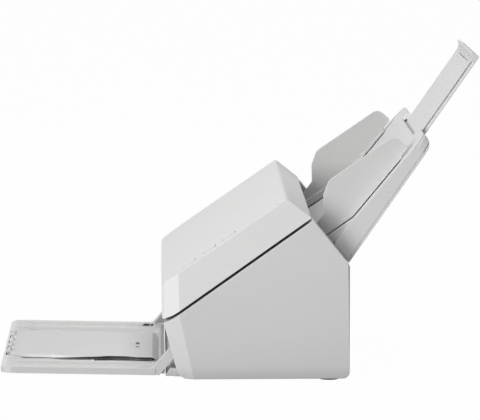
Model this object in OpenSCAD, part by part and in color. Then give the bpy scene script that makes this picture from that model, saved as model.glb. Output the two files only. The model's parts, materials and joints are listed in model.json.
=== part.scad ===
// Desktop document scanner: a hinged top cover on a base, a lift-off paper chute with side guides
// and a pull-out extension at the rear, and a fold-up stacker tray at the front.
// Millimetres. +Z is up, the front faces -Y, and Z = 0 is the desk under the rubber feet.

/* [Body] */
// Width across the side walls
body_w = 298; // [288:1:320]
// Depth from the front face to the rear wall
body_d = 135.4; // [128:0.2:145]
// Height of the ridge of the top cover above the underside
body_h = 130.8; // [124:0.2:140]
// Distance from the ridge back to the rear wall
ridge_ahead = 45.4; // [40:0.2:50]
// Height of the front wall of the top cover above the underside
front_h = 68.6; // [64:0.2:74]
// Distance from the knee of the rear facet back to the rear wall
knee_ahead = 28.4; // [24:0.2:32]
// Drop from the ridge to the knee
knee_drop = 13.4; // [10:0.2:16]
// Drop from the ridge to the foot of the rear slope
slope_drop = 48.8; // [44:0.2:54]
// Width of each side tower of the base
tower_w = 18.5; // [16:0.5:22]
// Radius of the front corners seen from above
corner_r = 12; // [6:0.5:16]
// Thickness of the moulded walls
wall = 2.5; // [1.8:0.1:3]
// Height of the rubber feet
foot_h = 1.4; // [1:0.1:4]
// Diameter of the rubber feet
foot_d = 15; // [10:0.5:18]

/* [Parting line] */
// Height of the lower edge of the cover at the front
part_front_h = 42.6; // [38:0.2:47]
// Width of the dark gap between cover and base
part_gap = 2; // [1:0.1:2.5]
// Length of the rear lip of the cover below the knee
cover_lip = 0.85; // [0.5:0.05:1.5]
// Lean of the side walls away from the gap, in degrees
side_draft = 1.5; // [0:0.1:2]

/* [Paper path] */
// Height of the paper path at the exit lip
exit_h = 23; // [20:0.2:26]
// Distance of the exit lip behind the front face
exit_back = 8; // [6:0.2:10]
// Free height between the lower and the upper paper guide
paper_gap = 2.2; // [1.8:0.1:3]
// Radius of the driven rollers
roller_r = 9; // [8:0.1:10]
// How far the driven rollers stand out of the lower guide
roller_rise = 0.8; // [0.4:0.1:1]

/* [Cover] */
// Length of each key along the slope
key_l = 10.3; // [7:0.1:12]
// Width of each key
key_w = 12; // [8:0.5:16]
// Distance from key to key along the slope
key_pitch = 17.6; // [15:0.1:20]
// How far each key travels
key_travel = 0.6; // [0.3:0.1:1]

/* [Chute] */
// Gap between each side of the chute and the tower beside it
chute_gap = 2.5; // [1:0.1:4]
// Length of the front face of the chute along its slope
chute_l = 100.6; // [90:0.2:110]
// Slope of the front face, in degrees
chute_tilt = 50.4; // [49:0.1:52]
// How much steeper the back face is, in degrees
chute_taper = 4.7; // [4.2:0.1:4.9]
// Length of the tongues that seat in the sockets
tongue_l = 22; // [16:0.5:26]

/* [Side guides] */
// Distance from the side of the chute in to a guide that is fully out
guide_margin = 11; // [8:0.5:20]
// Length of each guide blade up the chute
guide_l = 87; // [70:1:95]
// Height of each guide blade off the chute
guide_h = 31.1; // [20:0.1:40]
// Thickness of each guide blade
blade_t = 2.6; // [1.6:0.1:3.5]
// How far each guide slides inwards
guide_travel = 87; // [60:1:95]
// Tooth size of the racks and their pinion
tooth_module = 1; // [0.8:0.05:1.2]
// Number of teeth on the pinion
pinion_teeth = 16; // [14:1:18]

/* [Chute extension] */
// Width of the extension
ext_w = 136; // [120:1:190]
// Length of the extension that shows when it is pulled out
ext_out = 68; // [60:0.5:80]
// Length of the extension that stays in the chute
ext_in = 26; // [20:0.5:30]
// Thickness of the extension
ext_t = 3.6; // [2.6:0.1:4]
// Height of the curled lip at its end
lip_rise = 3.4; // [2:0.1:5]

/* [Stacker tray] */
// Gap between each side of the tray and the tower beside it
tray_gap = 3.5; // [3.2:0.1:6]
// Distance of the front edge of the tray ahead of the front face
tray_reach = 117.4; // [100:0.2:135]
// Thickness of the tray at its rim
tray_t = 4.7; // [4.4:0.1:7]
// Upward tilt of the tray, in degrees
tray_tilt = 1.1; // [0.5:0.1:1.5]
// Width of the two arms that carry the tray
arm_t = 6.8; // [5:0.1:8]
// Width of the flap that lies in the tray
flap_w = 130; // [110:1:160]
// Thickness of the flap
flap_t = 2.2; // [2:0.1:3]

/* [Hidden] */

shell = [0.86, 0.86, 0.85];
shell_dark = [0.78, 0.78, 0.77];
key_grey = [0.72, 0.73, 0.74];
steel = [0.62, 0.64, 0.66];
rubber = [0.2, 0.2, 0.21];
black = [0.14, 0.14, 0.15];
board_green = [0.1, 0.35, 0.2];
acetal = [0.9, 0.89, 0.85];
glass = [0.7, 0.78, 0.8];

// Overrun of every cut, and the clearances: loose, running, pressed and touching
over = 1;
fit = 0.3;
slip = 0.05;
seat = 0.02;
touch = 0.1;
arc_step = 12;
round_fn = 48;
small_fn = 32;

// Unit vector along a, and at an angle
function unit(a) = a / norm(a);
function heading(angle) = [cos(angle), sin(angle)];

// Where the line through a along u meets the line through b along v
function meet(a, u, b, v) = a + u * cross(b - a, v) / cross(u, v);

// Point at distance along and height off a slope that starts at start and rises at tilt
function on_slope(start, tilt, along, off) =
    start + [along * cos(tilt) - off * sin(tilt), along * sin(tilt) + off * cos(tilt)];

// The corner at p between a and b, rounded to radius r
function arc_corner(a, p, b, r) =
    let (u = unit(a - p),
         v = unit(b - p),
         half = acos(u * v) / 2,
         c = p + unit(u + v) * r / sin(half),
         s = p + u * r / tan(half) - c,
         e = p + v * r / tan(half) - c,
         a0 = atan2(s[1], s[0]),
         turn = (atan2(e[1], e[0]) - a0 + 540) % 360 - 180,
         n = max(2, ceil(abs(turn) / arc_step)))
    [for (i = [0:n]) c + r * heading(a0 + turn * i / n)];

// Outline through the points p, whose corners have the radii r
function rounded(p, r) =
    let (n = len(p))
    [for (i = [0:n - 1])
        each (r[i] > 0 ? arc_corner(p[(i + n - 1) % n], p[i], p[(i + 1) % n], r[i]) : [p[i]])];

// A closed anticlockwise outline moved inwards by d
function inset(p, d) =
    let (n = len(p))
    [for (i = [0:n - 1])
        let (a = unit(p[i] - p[(i + n - 1) % n]),
             b = unit(p[(i + 1) % n] - p[i]),
             na = [-a[1], a[0]],
             nb = [-b[1], b[0]])
        p[i] + (na + nb) * d / (1 + na * nb)];

// Corners of a rectangle
function rectangle(x1, y1, x2, y2) = [[x1, y1], [x2, y1], [x2, y2], [x1, y2]];

// Extrudes a side view, drawn as depth and height, across the width w
module along_x(w) {
    rotate([90, 0, 90])
        linear_extrude(w, center = true)
            children();
}

// Extrudes a side view from x1 to x2
module slab_x(x1, x2) {
    translate([x1, 0, 0])
        rotate([90, 0, 90])
            linear_extrude(x2 - x1)
                children();
}

// Round bar along the width, centred on the side view point p
module rod(p, r, x1, x2) {
    translate([x1, p[0], p[1]])
        rotate([0, 90, 0])
            cylinder(r = r, h = x2 - x1, $fn = round_fn);
}

// Box from corner a to corner b
module block(a, b) {
    translate(a)
        cube(b - a);
}

// Lays a shape on a slope of the side view: y runs up the slope, z stands off it
module lie(start, tilt) {
    translate([0, start[0], start[1]])
        rotate([tilt, 0, 0])
            children();
}

// Both sides of the machine
module both() {
    children();
    mirror([1, 0, 0])
        children();
}

// Side view of the body: the front band, the slopes and the parting gap
ridge = [body_d - ridge_ahead, body_h];
knee = [body_d - knee_ahead, body_h - knee_drop];
slope_foot = [body_d, body_h - slope_drop];
bend_back = 7.9;
bend_rise = 3.6;
part_bend = [bend_back, part_front_h + bend_rise];
cover_rear = knee + cover_lip * unit(slope_foot - knee);
part_run = unit(cover_rear - part_bend);
part_tilt = atan2(part_run[1], part_run[0]);
part_drop = part_gap / cos(part_tilt);
base_bend = part_bend - [0, part_drop];
base_rear = meet(base_bend, part_run, knee, slope_foot - knee);
toe_back = 1.2;
front_top = [toe_back, part_front_h - part_drop];
front_lean = 15.2;
toe_r = 8;
edge_r = 0.8;
rear_edge_r = 5;
rear_corner_r = 4;
corner_w = 7;
corner_l = 12.6;
cover_low_r = 1.2;
cover_edge_r = 4;
ridge_r = 2.5;
top_tilt = atan2(body_h - front_h, ridge[0]);

// Depth of the leaning front of the base at height z
function front_at(z) = front_top[0] + (front_top[1] - z) * tan(front_lean);

function base_outline(low) = [[front_at(low), low], [body_d, low], slope_foot, base_rear,
                              base_bend, front_top];

// Towers, rear wall, sill and screw posts of the base
body_half = body_w / 2;
tower_in = body_half - tower_w;
rear_wall_drop = 7;
rear_wall_h = slope_foot[1] - rear_wall_drop;
plate_t = 2.5;
plate_front = 16;
plate_gap = 1.5;
sill_h = 5.7;
sill_front = 2.5;
sill_back = 13;
sill_slope = [3.5, 3];
sill_tie = 8;
post_r = 4;
post_h = 12;
post_rib = 3;
screw_x = (tower_in + body_half) / 2;
screw_front = 46;
screw_rear = 29.4;
screw_r = 1.5;
screw_l = 11;
screw_head_r = 3;
screw_head_t = 1.4;
screw_key_r = 1.4;
screw_key_deep = 0.8;

// Hinges of the cover and of the tray
hinge_back = 5;
hinge_drop = 4.6;
hinge = [hinge_back, part_front_h - hinge_drop];
hinge_pin_r = 1.75;
hinge_boss_r = 2.9;
pin_deep = 8;
tray_pivot_back = 5;
tray_pivot = [exit_back + tray_pivot_back, exit_h - touch];
tray_pin_r = 2.5;
tray_boss_r = 5.5;
ear_t = 2.6;
ear_gap = 0.5;
ear_out = tower_in - ear_gap;
ear_in = ear_out - ear_t;
ear_r = hinge_boss_r + 0.24 * ear_t;
ear_rise = [12, 19];
ear_fall = [-1, 9.5];

// Tray arms, which set the width of the exit mouth
tray_half = tower_in - tray_gap;
arm_inset = 0.3;
arm_out = tray_half - arm_inset;
arm_in = arm_out - arm_t;
mouth_gap = 2.9;
mouth_half = arm_in - mouth_gap;
mouth_back = 26;

// Paper path, parallel to the parting gap but for half a degree
path_lag = 0.6;
paper_tilt = part_tilt - path_lag;
paper_start = [exit_back, exit_h];
guide_ahead = 23.8;
guide_end = (body_d - guide_ahead - exit_back) / cos(paper_tilt);
guide_t = 2.5;
guide_side = 1;
guide_half = tower_in - guide_side;

// Point of the paper path, along it and off its surface
function paper(along, off) = on_slope(paper_start, paper_tilt, along, off);

// Stations of the path, as shares of its length
exit_share = 0.135;
low_sensor_share = 0.308;
high_sensor_share = 0.434;
feed_share = 0.587;
pick_share = 0.857;
exit_at = exit_share * guide_end;
low_sensor_at = low_sensor_share * guide_end;
high_sensor_at = high_sensor_share * guide_end;
feed_at = feed_share * guide_end;
pick_at = pick_share * guide_end;
roller_off = roller_rise - roller_r;
exit_axis = paper(exit_at, roller_off);
feed_axis = paper(feed_at, roller_off);
pick_axis = paper(pick_at, roller_off);
shaft_axes = [exit_axis, feed_axis, pick_axis];

// Belt drive between the left frame and the left tower
pulley_w = 3;
pulley_flange_t = 0.6;
pulley_flange = 1;
pulley_r = 4.4;
motor_pulley_r = 3.4;
belt_t = 1.2;
belt_w = 2.6;
belt_pitch = 4.4;
belt_side = 2.6;
drive_gap = 1.2;
outer_belt = tower_in - drive_gap - pulley_w / 2 - pulley_flange_t;
inner_belt = outer_belt - belt_pitch;
frame_t = 1.6;
frame_out = inner_belt - belt_side;
frame_half = frame_out - frame_t;
shaft_r = 3;
shaft_out = tower_in - drive_gap + seat;
shaft_half = frame_out + 0.25 * frame_t;
bush_wall = 1.4;
bush_r = shaft_r + bush_wall;
bush_t = 4;
bush_flange = 0.8;
motor_r = 14;
motor_l = 30;
motor_ahead = 53.4;
motor_rise = 24;
motor_axis = [body_d - motor_ahead, motor_rise];
motor_shaft_r = 1.6;
motor_shaft_l = 12;
motor_foot = 8;

// Tyres, as shares of the width between the frames
tyre_w = 18;
tyre_hub = 2;
tyre_hub_side = 1;
tyre_shares = [-0.417, 0.417];
pick_shares = [-0.121, 0.121];
window_side = 1.5;

// Image sensors behind their glasses
sensor_gap = 2.6;
sensor_half = frame_half - sensor_gap;
sensor_d = 15;
sensor_h = 12;
sensor_ledge = 1.5;
sensor_ledge_h = 2;
sensor_ledge_end = 8;
sensor_slot = 6;
glass_end = 6;
glass_half = sensor_half - glass_end;
glass_d = 12;
glass_t = 1.6;
glass_sink = 0.2;

// Main board and the sockets at the rear
board_low = 8;
board_t = 1.6;
board_half = 52;
board_l = 33.9;
board_rear = body_d - wall - over;
board_front = board_rear - board_l;
board_inset = 6;
board_hole_r = 1.6;
board_post_r = 3;
chip_h = 6;
socket_h = board_low + board_t;
socket_in = 1.6;
socket_proud = 0.5;
jack_x = -34;
jack_w = 9;
jack_h = 11;
jack_l = 13;
jack_hole_r = 3.2;
jack_floor = 2;
usb_x = -12;
usb_w = 12;
usb_h = 10.8;
usb_l = 14;
usb_sheet = 0.7;
usb_deep = 3;
usb_tongue_w = 5.6;
usb_tongue_h = 3.2;
lock_x = 96;
lock_w = 7;
lock_h = 3;
lock_rise = 19.2;

// Side frames
frame_front = 24;
frame_rear = 31.4;
frame_nose = 10;
frame_top = 20;
frame_end = 7.5;
frame_deep = 12;
frame_post_t = 3;
frame_post_l = 10;
frame_post_h = 12;

// Upper paper guide and its rollers
upper_side = 0.4;
upper_half = ear_in - upper_side;
upper_front = 2;
upper_short = 8;
upper_end = guide_end - upper_short;
upper_t = 2.4;
lip_back = 3.2;
lip_up = 1.6;
upper_lip = [lip_back, part_front_h + lip_up];
rim_t = 2;
rim_side = 1.8;
rim_half = body_half - wall - rim_side;
idler_r = 5;
idler_shaft_r = 2;
idler_w = 14;
idler_dish = 2;
idler_skin = 1.2;
separation_r = 7;
separation_w = 24;
idler_off = roller_rise + fit;
rib_t = 2.4;
rib_gap = 1.8;
rib_half = 6;
rib_over = 4;
window_gap = 0.6;
window_end = 1;

// Keys and light on the cover, near its right edge
key_margin = 12;
light_x = body_half - key_margin;
key_x = light_x - key_w / 2;
key_gap = 0.5;
key_drop = 1.1;
key_proud = 0.3;
key_skirt = 0.9;
keys_share = 0.1722;
light_share = 0.9233;
top_l = norm(ridge - [0, front_h]);
keys_front = keys_share * top_l;
light_along = light_share * top_l;
light_r = 1.5;
light_l = 3;
light_proud = 0.1;
key_board_drop = 4.2;
key_board_low = wall + key_board_drop;
key_board_t = 1.2;
key_board_side = 3;
key_board_end = 8;
key_switch = 6;
key_switch_gap = 0.2;
key_post_r = 2;
key_post_ahead = 5;
key_post_behind = 10;
light_lead_r = 0.8;

// Chute, drawn from the foot of its back face
chute_half = tower_in - chute_gap;
back_tilt = chute_tilt + chute_taper;
back_foot_in = [0.5, 0.8];
back_foot = slope_foot - back_foot_in;
skin = 2.2;
back_t = 1.6;
back_gap = 0.2;
back_low = 1;
chute_r = 8;
chute_plan_r = 14;
chute_toe = [1.5, 1];
chute_toe_run = 2;
ramp_gap = 2.8;
ramp_side = 8;
ramp_half = chute_half - ramp_side;
ramp_t = 6;
ramp_reach = 22;
ramp_foot = 6;
tongue_w = 16;
tongue_t = 4;
tongue_inset = 28;
tongue_x = chute_half - tongue_inset;
tongue_off = 6.2;
tongue_root = 4;
socket_wall = 3;
socket_short = 4;
socket_mouth = 6;
socket_web = 19;
runner_w = 2;
runner_in = 9;
runner_start = 6;
runner_h = 0.9;
runner_end = 7.5;
vent_pitch = 22;
vent_w = 14;
vent_l = 3;
vent_up = 14;
vent_last = 3;

// Racks and pinion under the skin of the chute
pinion_r = tooth_module * pinion_teeth / 2;
tooth_slack = 0.2;
tooth_root = 1.25 * tooth_module;
pressure = 20;
rack_t = 2;
rack_gap = 0.5;
rack_h = 5.4;
rack_tail = 12;
rack_low = -(skin + rack_gap + rack_t);
pinion_at = 34;
pinion_pin_r = 2;
pinion_head_r = 3.2;
pinion_head_t = 0.8;
pinion_head_gap = 0.2;

// Extension inside the chute
ext_half = ext_w / 2;
ext_gap = 0.6;
ext_off = back_t + ext_gap;
ext_under = 2.69;
ext_block = 6;
ext_groove_t = 1.9;
ext_groove_d = 0.8;
ext_groove_low = 1.2;
ext_slot_half = 47;
ext_slot_back = 8;
ext_slot_w = 1;
ext_slot_d = 1.4;
ext_notch = 6.2;
ext_rib_pitch = 26;
ext_rib_w = 16;
ext_rib_d = 0.8;
ext_rib_start = 8;
ext_rib_end = 12;
lip_l = 7;
lip_shares = [[-1, 0], [-0.63, 0.15], [-0.37, 0.47], [-0.23, 1], [-0.06, 1], [0, 0.82]];

// The front face stands off the back face by what lies between them at the pinion
chute_step = 6.83;
chute_deep = ext_off + ext_t + ext_under
    + (pinion_head_t + pinion_head_gap - rack_low) * cos(chute_taper) + pinion_at * sin(chute_taper);
// Point of the chute, along its back face and in from it
function back(along, off) = on_slope(back_foot, back_tilt, along, off);
chute_foot = back(chute_step, chute_deep);
// Point of the chute, along its front face and off it
function chute(along, off) = on_slope(chute_foot, chute_tilt, along, off);
chute_top = chute(chute_l, 0);
back_l = (chute_top - back_foot) * heading(back_tilt) + over;
back_corner = meet(back(back_l, 0), back(0, 1) - back_foot, chute_foot, chute(1, 0) - chute_foot);
chute_bend = meet(paper_start, heading(paper_tilt), chute_foot, heading(chute_tilt));
ramp_share = 0.16;
ramp_front = guide_end + ramp_share * ramp_gap;
ext_start = back_l - ext_in;
ext_end = ext_start + ext_out + ext_in;

// Side guides
guide_out = chute_half - guide_margin;
guide_in = guide_out - blade_t;
guide_foot_w = 8;
guide_foot_t = 1.6;
guide_rest_t = 4.4;
guide_step_l = 8.5;
guide_step_h = 1;
guide_foot_up = (chute_bend - chute_foot) * heading(chute_tilt);
guide_gap = 1;
guide_ahead_l = 4;
stem_w = 7;
stem_l = 4.6;
slot_side = 0.4;
slot_deep = 8;
slot_in = guide_in - guide_travel - stem_w - fit;
guide_r = 9;
guide_shares = [[1.003, 0.484], [0.3615, 1], [0.24, 0.877], [0.124, 0.593], [-0.005, 0.577]];
guide_r_shares = [0.67, 1, 0.67, 0.25, 0.25];

// Tray
tray_rear = 5;
tray_low = 0;
tray_over = 4.6;
tray_over_gap = 1;
tray_l = tray_reach - tray_rear;
tray_corner_r = 9;
nose_l = 3.6;
nose_d = 1.1;
channel_front = 5.4;
channel_ramp = 13;
channel_d = 2;
channel_rear = 1.6;
channel_shares = [0.4, 0.5, 0.855];
rear_rim = 2;
finger_in = 13;
finger_out_share = 0.34;
finger_shares = [0.56, 0.976];
arm_tilt = 48.9;
arm_toe = 4;
arm_heel = [2, 3];
arm_sink = 1;
arm_top = 0.4;
flap_half = flap_w / 2;
flap_front = 3.8;
flap_short = 2.6;
flap_l = tray_l - flap_short;
flap_side = 1;
flap_ends = [2.2, 3];
flap_lip = 0.6;
flap_proud = 0.2;
flap_rest_h = 1.6;
flap_axis_h = tray_t - flap_proud;
tray_floor = min(flap_rest_h, flap_axis_h - flap_t - slip);
flap_pin_r = 0.8;
flap_waist = 4;
flap_r = 16;
flap_slope_l = 3.4;
flap_slope_d = 1.6;
flap_shares = [0.29, 0.364, 0.61, 0.68, 0.8, 0.864, 1];
flap_in_shares = [1, 0, 0, 1, 1, 0, 0];
grip_half = 14;
grip_rear = 13;
grip_l = 8;
grip_d = 0.9;
grip_slot = [7, 3];
mark_x = 16;
mark_rear = 25.5;
mark_size = [0.9, 3.6];
mark_d = 0.5;
knuckle_r = 1.5;
knuckle_w = 17;
knuckle_split = 5;
knuckle_root = 3;
knuckle_shares = [-0.66, -0.22, 0.22, 0.66];

// Depth of the middle of the whole object, which the origin stands under
rear_most = back(ext_end, ext_off)[0];
mid_back = (rear_most - tray_reach) / 2;

// Moves the machine, drawn from the front face and the underside, over the origin
module placed() {
    translate([0, -mid_back, foot_h])
        children();
}

// Outer form in plan, moved in by d
module plan(d) {
    translate([0, 0, -body_h])
        linear_extrude(3 * body_h)
            polygon(plan_outline(d));
}

// Each front corner is a slanted facet, rounded where it leaves the front
function plan_outline(d) =
    inset(rounded([[corner_w - body_half, 0], [body_half - corner_w, 0], [body_half, corner_l],
                   [body_half, body_d], [-body_half, body_d], [-body_half, corner_l]],
                  [corner_r / 2, corner_r / 2, 0, rear_corner_r, rear_corner_r, 0]), d);

// The same facets along the slanted front of the base, moved in by d
module base_plan(d) {
    low = base_outline(0)[0];
    translate([0, low[0], low[1]])
        rotate([atan((low[0] - front_top[0]) / (front_top[1] - low[1])), 0, 0])
            linear_extrude(3 * body_h, center = true)
                polygon(inset([[2 * corner_w - body_half, -corner_l], [body_half - 2 * corner_w, -corner_l],
                               [body_half + corner_w, 2 * corner_l], [body_half + corner_w, 2 * body_d],
                               [-body_half - corner_w, 2 * body_d], [-body_half - corner_w, 2 * corner_l]],
                              d));
}

// Side walls that lean in above or below the parting line, moved in by d
module draft(up, d) {
    far = 2 * body_d;
    lean = far * tan(side_draft);
    half = body_half - d;
    translate([0, part_bend[0], part_bend[1]])
        rotate([part_tilt, 0, 0])
            rotate([90, 0, 0])
                linear_extrude(2 * far, center = true)
                    polygon([[-half, -over], [half, -over], [half, 0], [half - lean, far],
                             [lean - half, far], [-half, 0]] * (up ? 1 : -1));
}

// Base

module lower_housing() {
    color(shell) difference() {
        union() {
            difference() {
                housing_form();
                // Open middle between the towers
                along_x(2 * tower_in)
                    polygon([[-over, -over], [body_d - wall, -over], [body_d - wall, rear_wall_h],
                             [body_d + over, rear_wall_h], [body_d + over, body_h], [-over, body_h]]);
                // Hollow towers
                both() intersection() {
                    slab_x(tower_in + wall, body_half) polygon(inset(base_outline(-wall - over), wall));
                    plan(wall);
                    base_plan(wall);
                    draft(false, wall);
                }
            }
            sill();
            both() {
                rod(hinge, hinge_boss_r, tower_in + wall - seat, tower_in + pin_deep);
                rod(tray_pivot, tray_boss_r, tower_in + wall - seat, tower_in + pin_deep);
                chute_socket();
            }
            screw_places() {
                translate([0, 0, plate_t]) cylinder(r = post_r, h = post_h, $fn = small_fn);
                block([tower_in + wall - screw_x - seat, -post_rib / 2, plate_t],
                      [0, post_rib / 2, plate_t + post_h]);
            }
        }
        both() {
            rod(hinge, hinge_pin_r + seat, tower_in - over, tower_in + pin_deep - wall);
            rod(tray_pivot, tray_pin_r + seat, tower_in - over, tower_in + pin_deep - wall);
        }
        // Seat of the bottom plate
        translate([0, 0, -over]) linear_extrude(plate_t + fit + over) polygon(plate_outline(-fit));
        screw_places() cylinder(r = screw_r + slip, h = post_h, $fn = small_fn);
        rear_opening(jack_x, socket_h, jack_w + 2 * fit, jack_h + 2 * fit);
        rear_opening(usb_x, socket_h, usb_w + 2 * fit, usb_h + 2 * fit);
        rear_opening(lock_x, lock_rise + fit, lock_w, lock_h);
    }
}

// The outer form of the base, rounded in side view and in plan
module housing_form() {
    intersection() {
        along_x(body_w)
            polygon(rounded(base_outline(0), [toe_r, rear_edge_r, rear_edge_r, edge_r, 0, edge_r]));
        plan(0);
        base_plan(0);
        draft(false, 0);
    }
}

// Sill across the front, tied to the towers at its ends
module sill() {
    along_x(2 * tower_in) polygon([[sill_front, 0], [sill_back, 0], [sill_back - sill_slope[1], sill_h],
                                   [sill_front + sill_slope[0], sill_h]]);
    both() block([tower_in - guide_side / 2, sill_back - sill_tie / 2, 0],
                 [tower_in + wall - seat, sill_back + sill_tie, sill_h]);
}

// Opening w by h in the rear wall, centred at x, with its lower edge fit below low
module rear_opening(x, low, w, h) {
    block([x - w / 2, body_d - wall - over, low - fit], [x + w / 2, body_d + over, low - fit + h]);
}

// A box on the rear wall that takes one tongue of the chute
module chute_socket() {
    x1 = tongue_x - tongue_w / 2;
    x2 = tongue_x + tongue_w / 2;
    low = socket_short - tongue_l;
    inner = body_d - wall + seat;
    difference() {
        slab_x(x1 - socket_wall, x2 + socket_wall)
            polygon([back(low, tongue_off + tongue_t + socket_wall), back(low, 0) - [0, socket_short],
                     [inner, rear_wall_h - socket_web], [inner, rear_wall_h - socket_short],
                     back(-socket_mouth, tongue_off - socket_wall),
                     back(-socket_mouth, tongue_off + tongue_t + socket_wall)]);
        lie(back_foot, back_tilt)
            block([x1 - fit, -2 * tongue_l, tongue_off - fit], [x2 + fit, 0, tongue_off + tongue_t + fit]);
    }
}

// Outline of the bottom plate, moved in by d
plate_half = body_half - 2 * wall;
plate_back = body_d - wall - plate_gap;
plate_nose = sill_back + 2 * fit;
plate_throat = tower_in - guide_side;
function plate_outline(d) =
    inset([[-plate_throat, plate_nose], [plate_throat, plate_nose],
           [plate_throat, plate_front], [plate_half, plate_front],
           [plate_half, plate_back], [-plate_half, plate_back],
           [-plate_half, plate_front], [-plate_throat, plate_front]], d);

// Places of the screws under the towers
module screw_places() {
    for (y = [screw_front, body_d - screw_rear]) both() translate([screw_x, y, 0]) children();
}

foot_edge = 0.5;
foot_x = plate_half - foot_d / 2 - foot_edge;
foot_front = 34;
foot_inset = 22;
foot_rear = 14.6;
foot_sink = 0.8;
foot_bevel = 0.6;
module feet_places() {
    both() {
        translate([foot_x - foot_inset, foot_front, 0]) children();
        translate([foot_x, body_d - foot_rear, 0]) children();
    }
}

vent_slots = 7;
vent_slot_pitch = 9;
vent_slot_w = 4;
vent_slot_front = 50;
vent_slot_l = 24;
plate_post_front = 6;
plate_post_rear = 28;
module bottom_plate() {
    color(shell_dark) difference() {
        union() {
            linear_extrude(plate_t) polygon(plate_outline(0));
            board_places() translate([0, 0, plate_t - seat])
                cylinder(r = board_post_r, h = board_low - plate_t + seat, $fn = small_fn);
            // Posts outside the side frames
            both() for (y = [plate_front + plate_post_front, body_d - plate_post_rear])
                block([frame_out, y, plate_t - seat],
                      [frame_out + frame_post_t, y + frame_post_l, frame_post_h]);
        }
        screw_places() cylinder(r = screw_r + slip, h = 3 * plate_t, center = true, $fn = small_fn);
        screw_places() translate([0, 0, -over])
            cylinder(r = screw_head_r + fit, h = screw_head_t + over, $fn = small_fn);
        feet_places() translate([0, 0, -over])
            cylinder(r = foot_d / 2 + fit, h = foot_sink + over, $fn = round_fn);
        // Cooling slots
        for (i = [-vent_slots:vent_slots])
            translate([i * vent_slot_pitch, vent_slot_front, -over])
                block([-vent_slot_w / 2, 0, 0], [vent_slot_w / 2, vent_slot_l, plate_t + 2 * over]);
    }
}

module rubber_feet() {
    color(rubber) feet_places() translate([0, 0, -foot_h])
        rotate_extrude($fn = round_fn)
            polygon([[0, 0], [foot_d / 2 - foot_bevel, 0], [foot_d / 2, foot_bevel],
                     [foot_d / 2, foot_h + foot_sink], [0, foot_h + foot_sink]]);
}

module housing_screws() {
    color(steel) screw_places() {
        difference() {
            cylinder(r = screw_head_r, h = screw_head_t, $fn = small_fn);
            translate([0, 0, -over]) cylinder(r = screw_key_r, h = over + screw_key_deep, $fn = 6);
        }
        cylinder(r = screw_r, h = screw_l, $fn = small_fn);
    }
}

lip_apron = 12;
lip_hook = 9;
lip_hook_t = 4;
mouth_lip = [3.6, 2];
mouth_nose_r = 1;
mouth_nose = 3;
guide_rib_share = 0.205;
guide_rib_w = 1.2;
guide_rib_h = 0.5;
guide_ribs = 4;
module lower_paper_guide() {
    color(shell_dark) difference() {
        union() {
            intersection() {
                along_x(2 * guide_half)
                    polygon([paper(0, 0), paper(0, -guide_t), paper(guide_end - lip_hook_t, -guide_t),
                             paper(guide_end - lip_hook_t, -guide_t) - [0, lip_hook],
                             paper(guide_end, 0) - [0, lip_apron], paper(guide_end, 0)]);
                union() {
                    block([-guide_half, mouth_back, 0], [guide_half, body_d, body_h]);
                    block([-mouth_half, 0, 0], [mouth_half, mouth_back + over, body_h]);
                }
            }
            mouth_panel();
            // Low ribs that lead the paper
            for (i = [-guide_ribs:guide_ribs])
                lie(paper_start, paper_tilt)
                    translate([i * guide_rib_share * mouth_half, mouth_lip[0], -seat])
                        block([-guide_rib_w / 2, 0, 0],
                              [guide_rib_w / 2, exit_at - roller_r - mouth_lip[0], guide_rib_h]);
        }
        roller_windows(tyre_shares, exit_at);
        roller_windows(tyre_shares, feed_at);
        roller_windows(pick_shares, pick_at);
        lie(paper_start, paper_tilt) sensor_window(low_sensor_at, -2 * guide_t, over);
        drive_relief();
    }
}

// Panel under the exit lip
module mouth_panel() {
    along_x(2 * mouth_half)
        polygon(rounded([[sill_back - sill_slope[1], sill_h + fit],
                         [sill_back - sill_slope[1] + guide_t, sill_h + fit],
                         [exit_back + mouth_lip[0], exit_h - mouth_lip[1]],
                         [exit_back + mouth_lip[0], exit_h + mouth_lip[1]],
                         [exit_back, exit_h], [exit_back, exit_h - mouth_nose]],
                        [0, 0, 0, 0, mouth_nose_r, 0]));
}

// Window of a sensor glass in a paper guide, from height low to high off the path
module sensor_window(at, low, high) {
    block([-glass_half - fit, at - glass_d / 2 - fit, low],
          [glass_half + fit, at + glass_d / 2 + fit, high]);
}

// Windows in the lower guide around the tyres of one shaft
module roller_windows(shares, at) {
    for (share = shares)
        lie(paper_start, paper_tilt) translate([share * frame_half, at, 0])
            block([-tyre_w / 2 - window_side, -roller_r, -3 * guide_t],
                  [tyre_w / 2 + window_side, roller_r, over]);
}

// Room under the lower guide for bushes, pulleys and belts that come close to it
module drive_relief() {
    both() for (p = shaft_axes)
        rod(p, bush_r + bush_flange + fit, frame_half - bush_t, frame_out + seat);
    both() for (p = shaft_axes)
        rod(p, shaft_r + fit, frame_half - over, tower_in);
    mirror([1, 0, 0]) {
        for (p = shaft_axes)
            rod(p, pulley_r + pulley_flange + 2 * touch, inner_belt - pulley_w, tower_in);
        belt_body(exit_axis, pulley_r + belt_t + slip, pick_axis, pulley_r + belt_t + slip,
                  outer_belt, pulley_w);
    }
}

module side_frames() {
    nose = plate_t + touch;
    under = -guide_t - fit;
    color(steel) both() difference() {
        slab_x(frame_half, frame_out)
            polygon([[frame_front, nose], [body_d - frame_rear, nose],
                     paper(pick_at + frame_end, -frame_deep), paper(pick_at + frame_end, under),
                     paper(frame_top, under), paper(frame_nose, under - frame_t)]);
        for (p = shaft_axes)
            rod(p, bush_r + seat, frame_half - over, frame_out + over);
        rod(motor_axis, motor_r / 2 + fit, frame_half - over, frame_out + over);
    }
}

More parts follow.
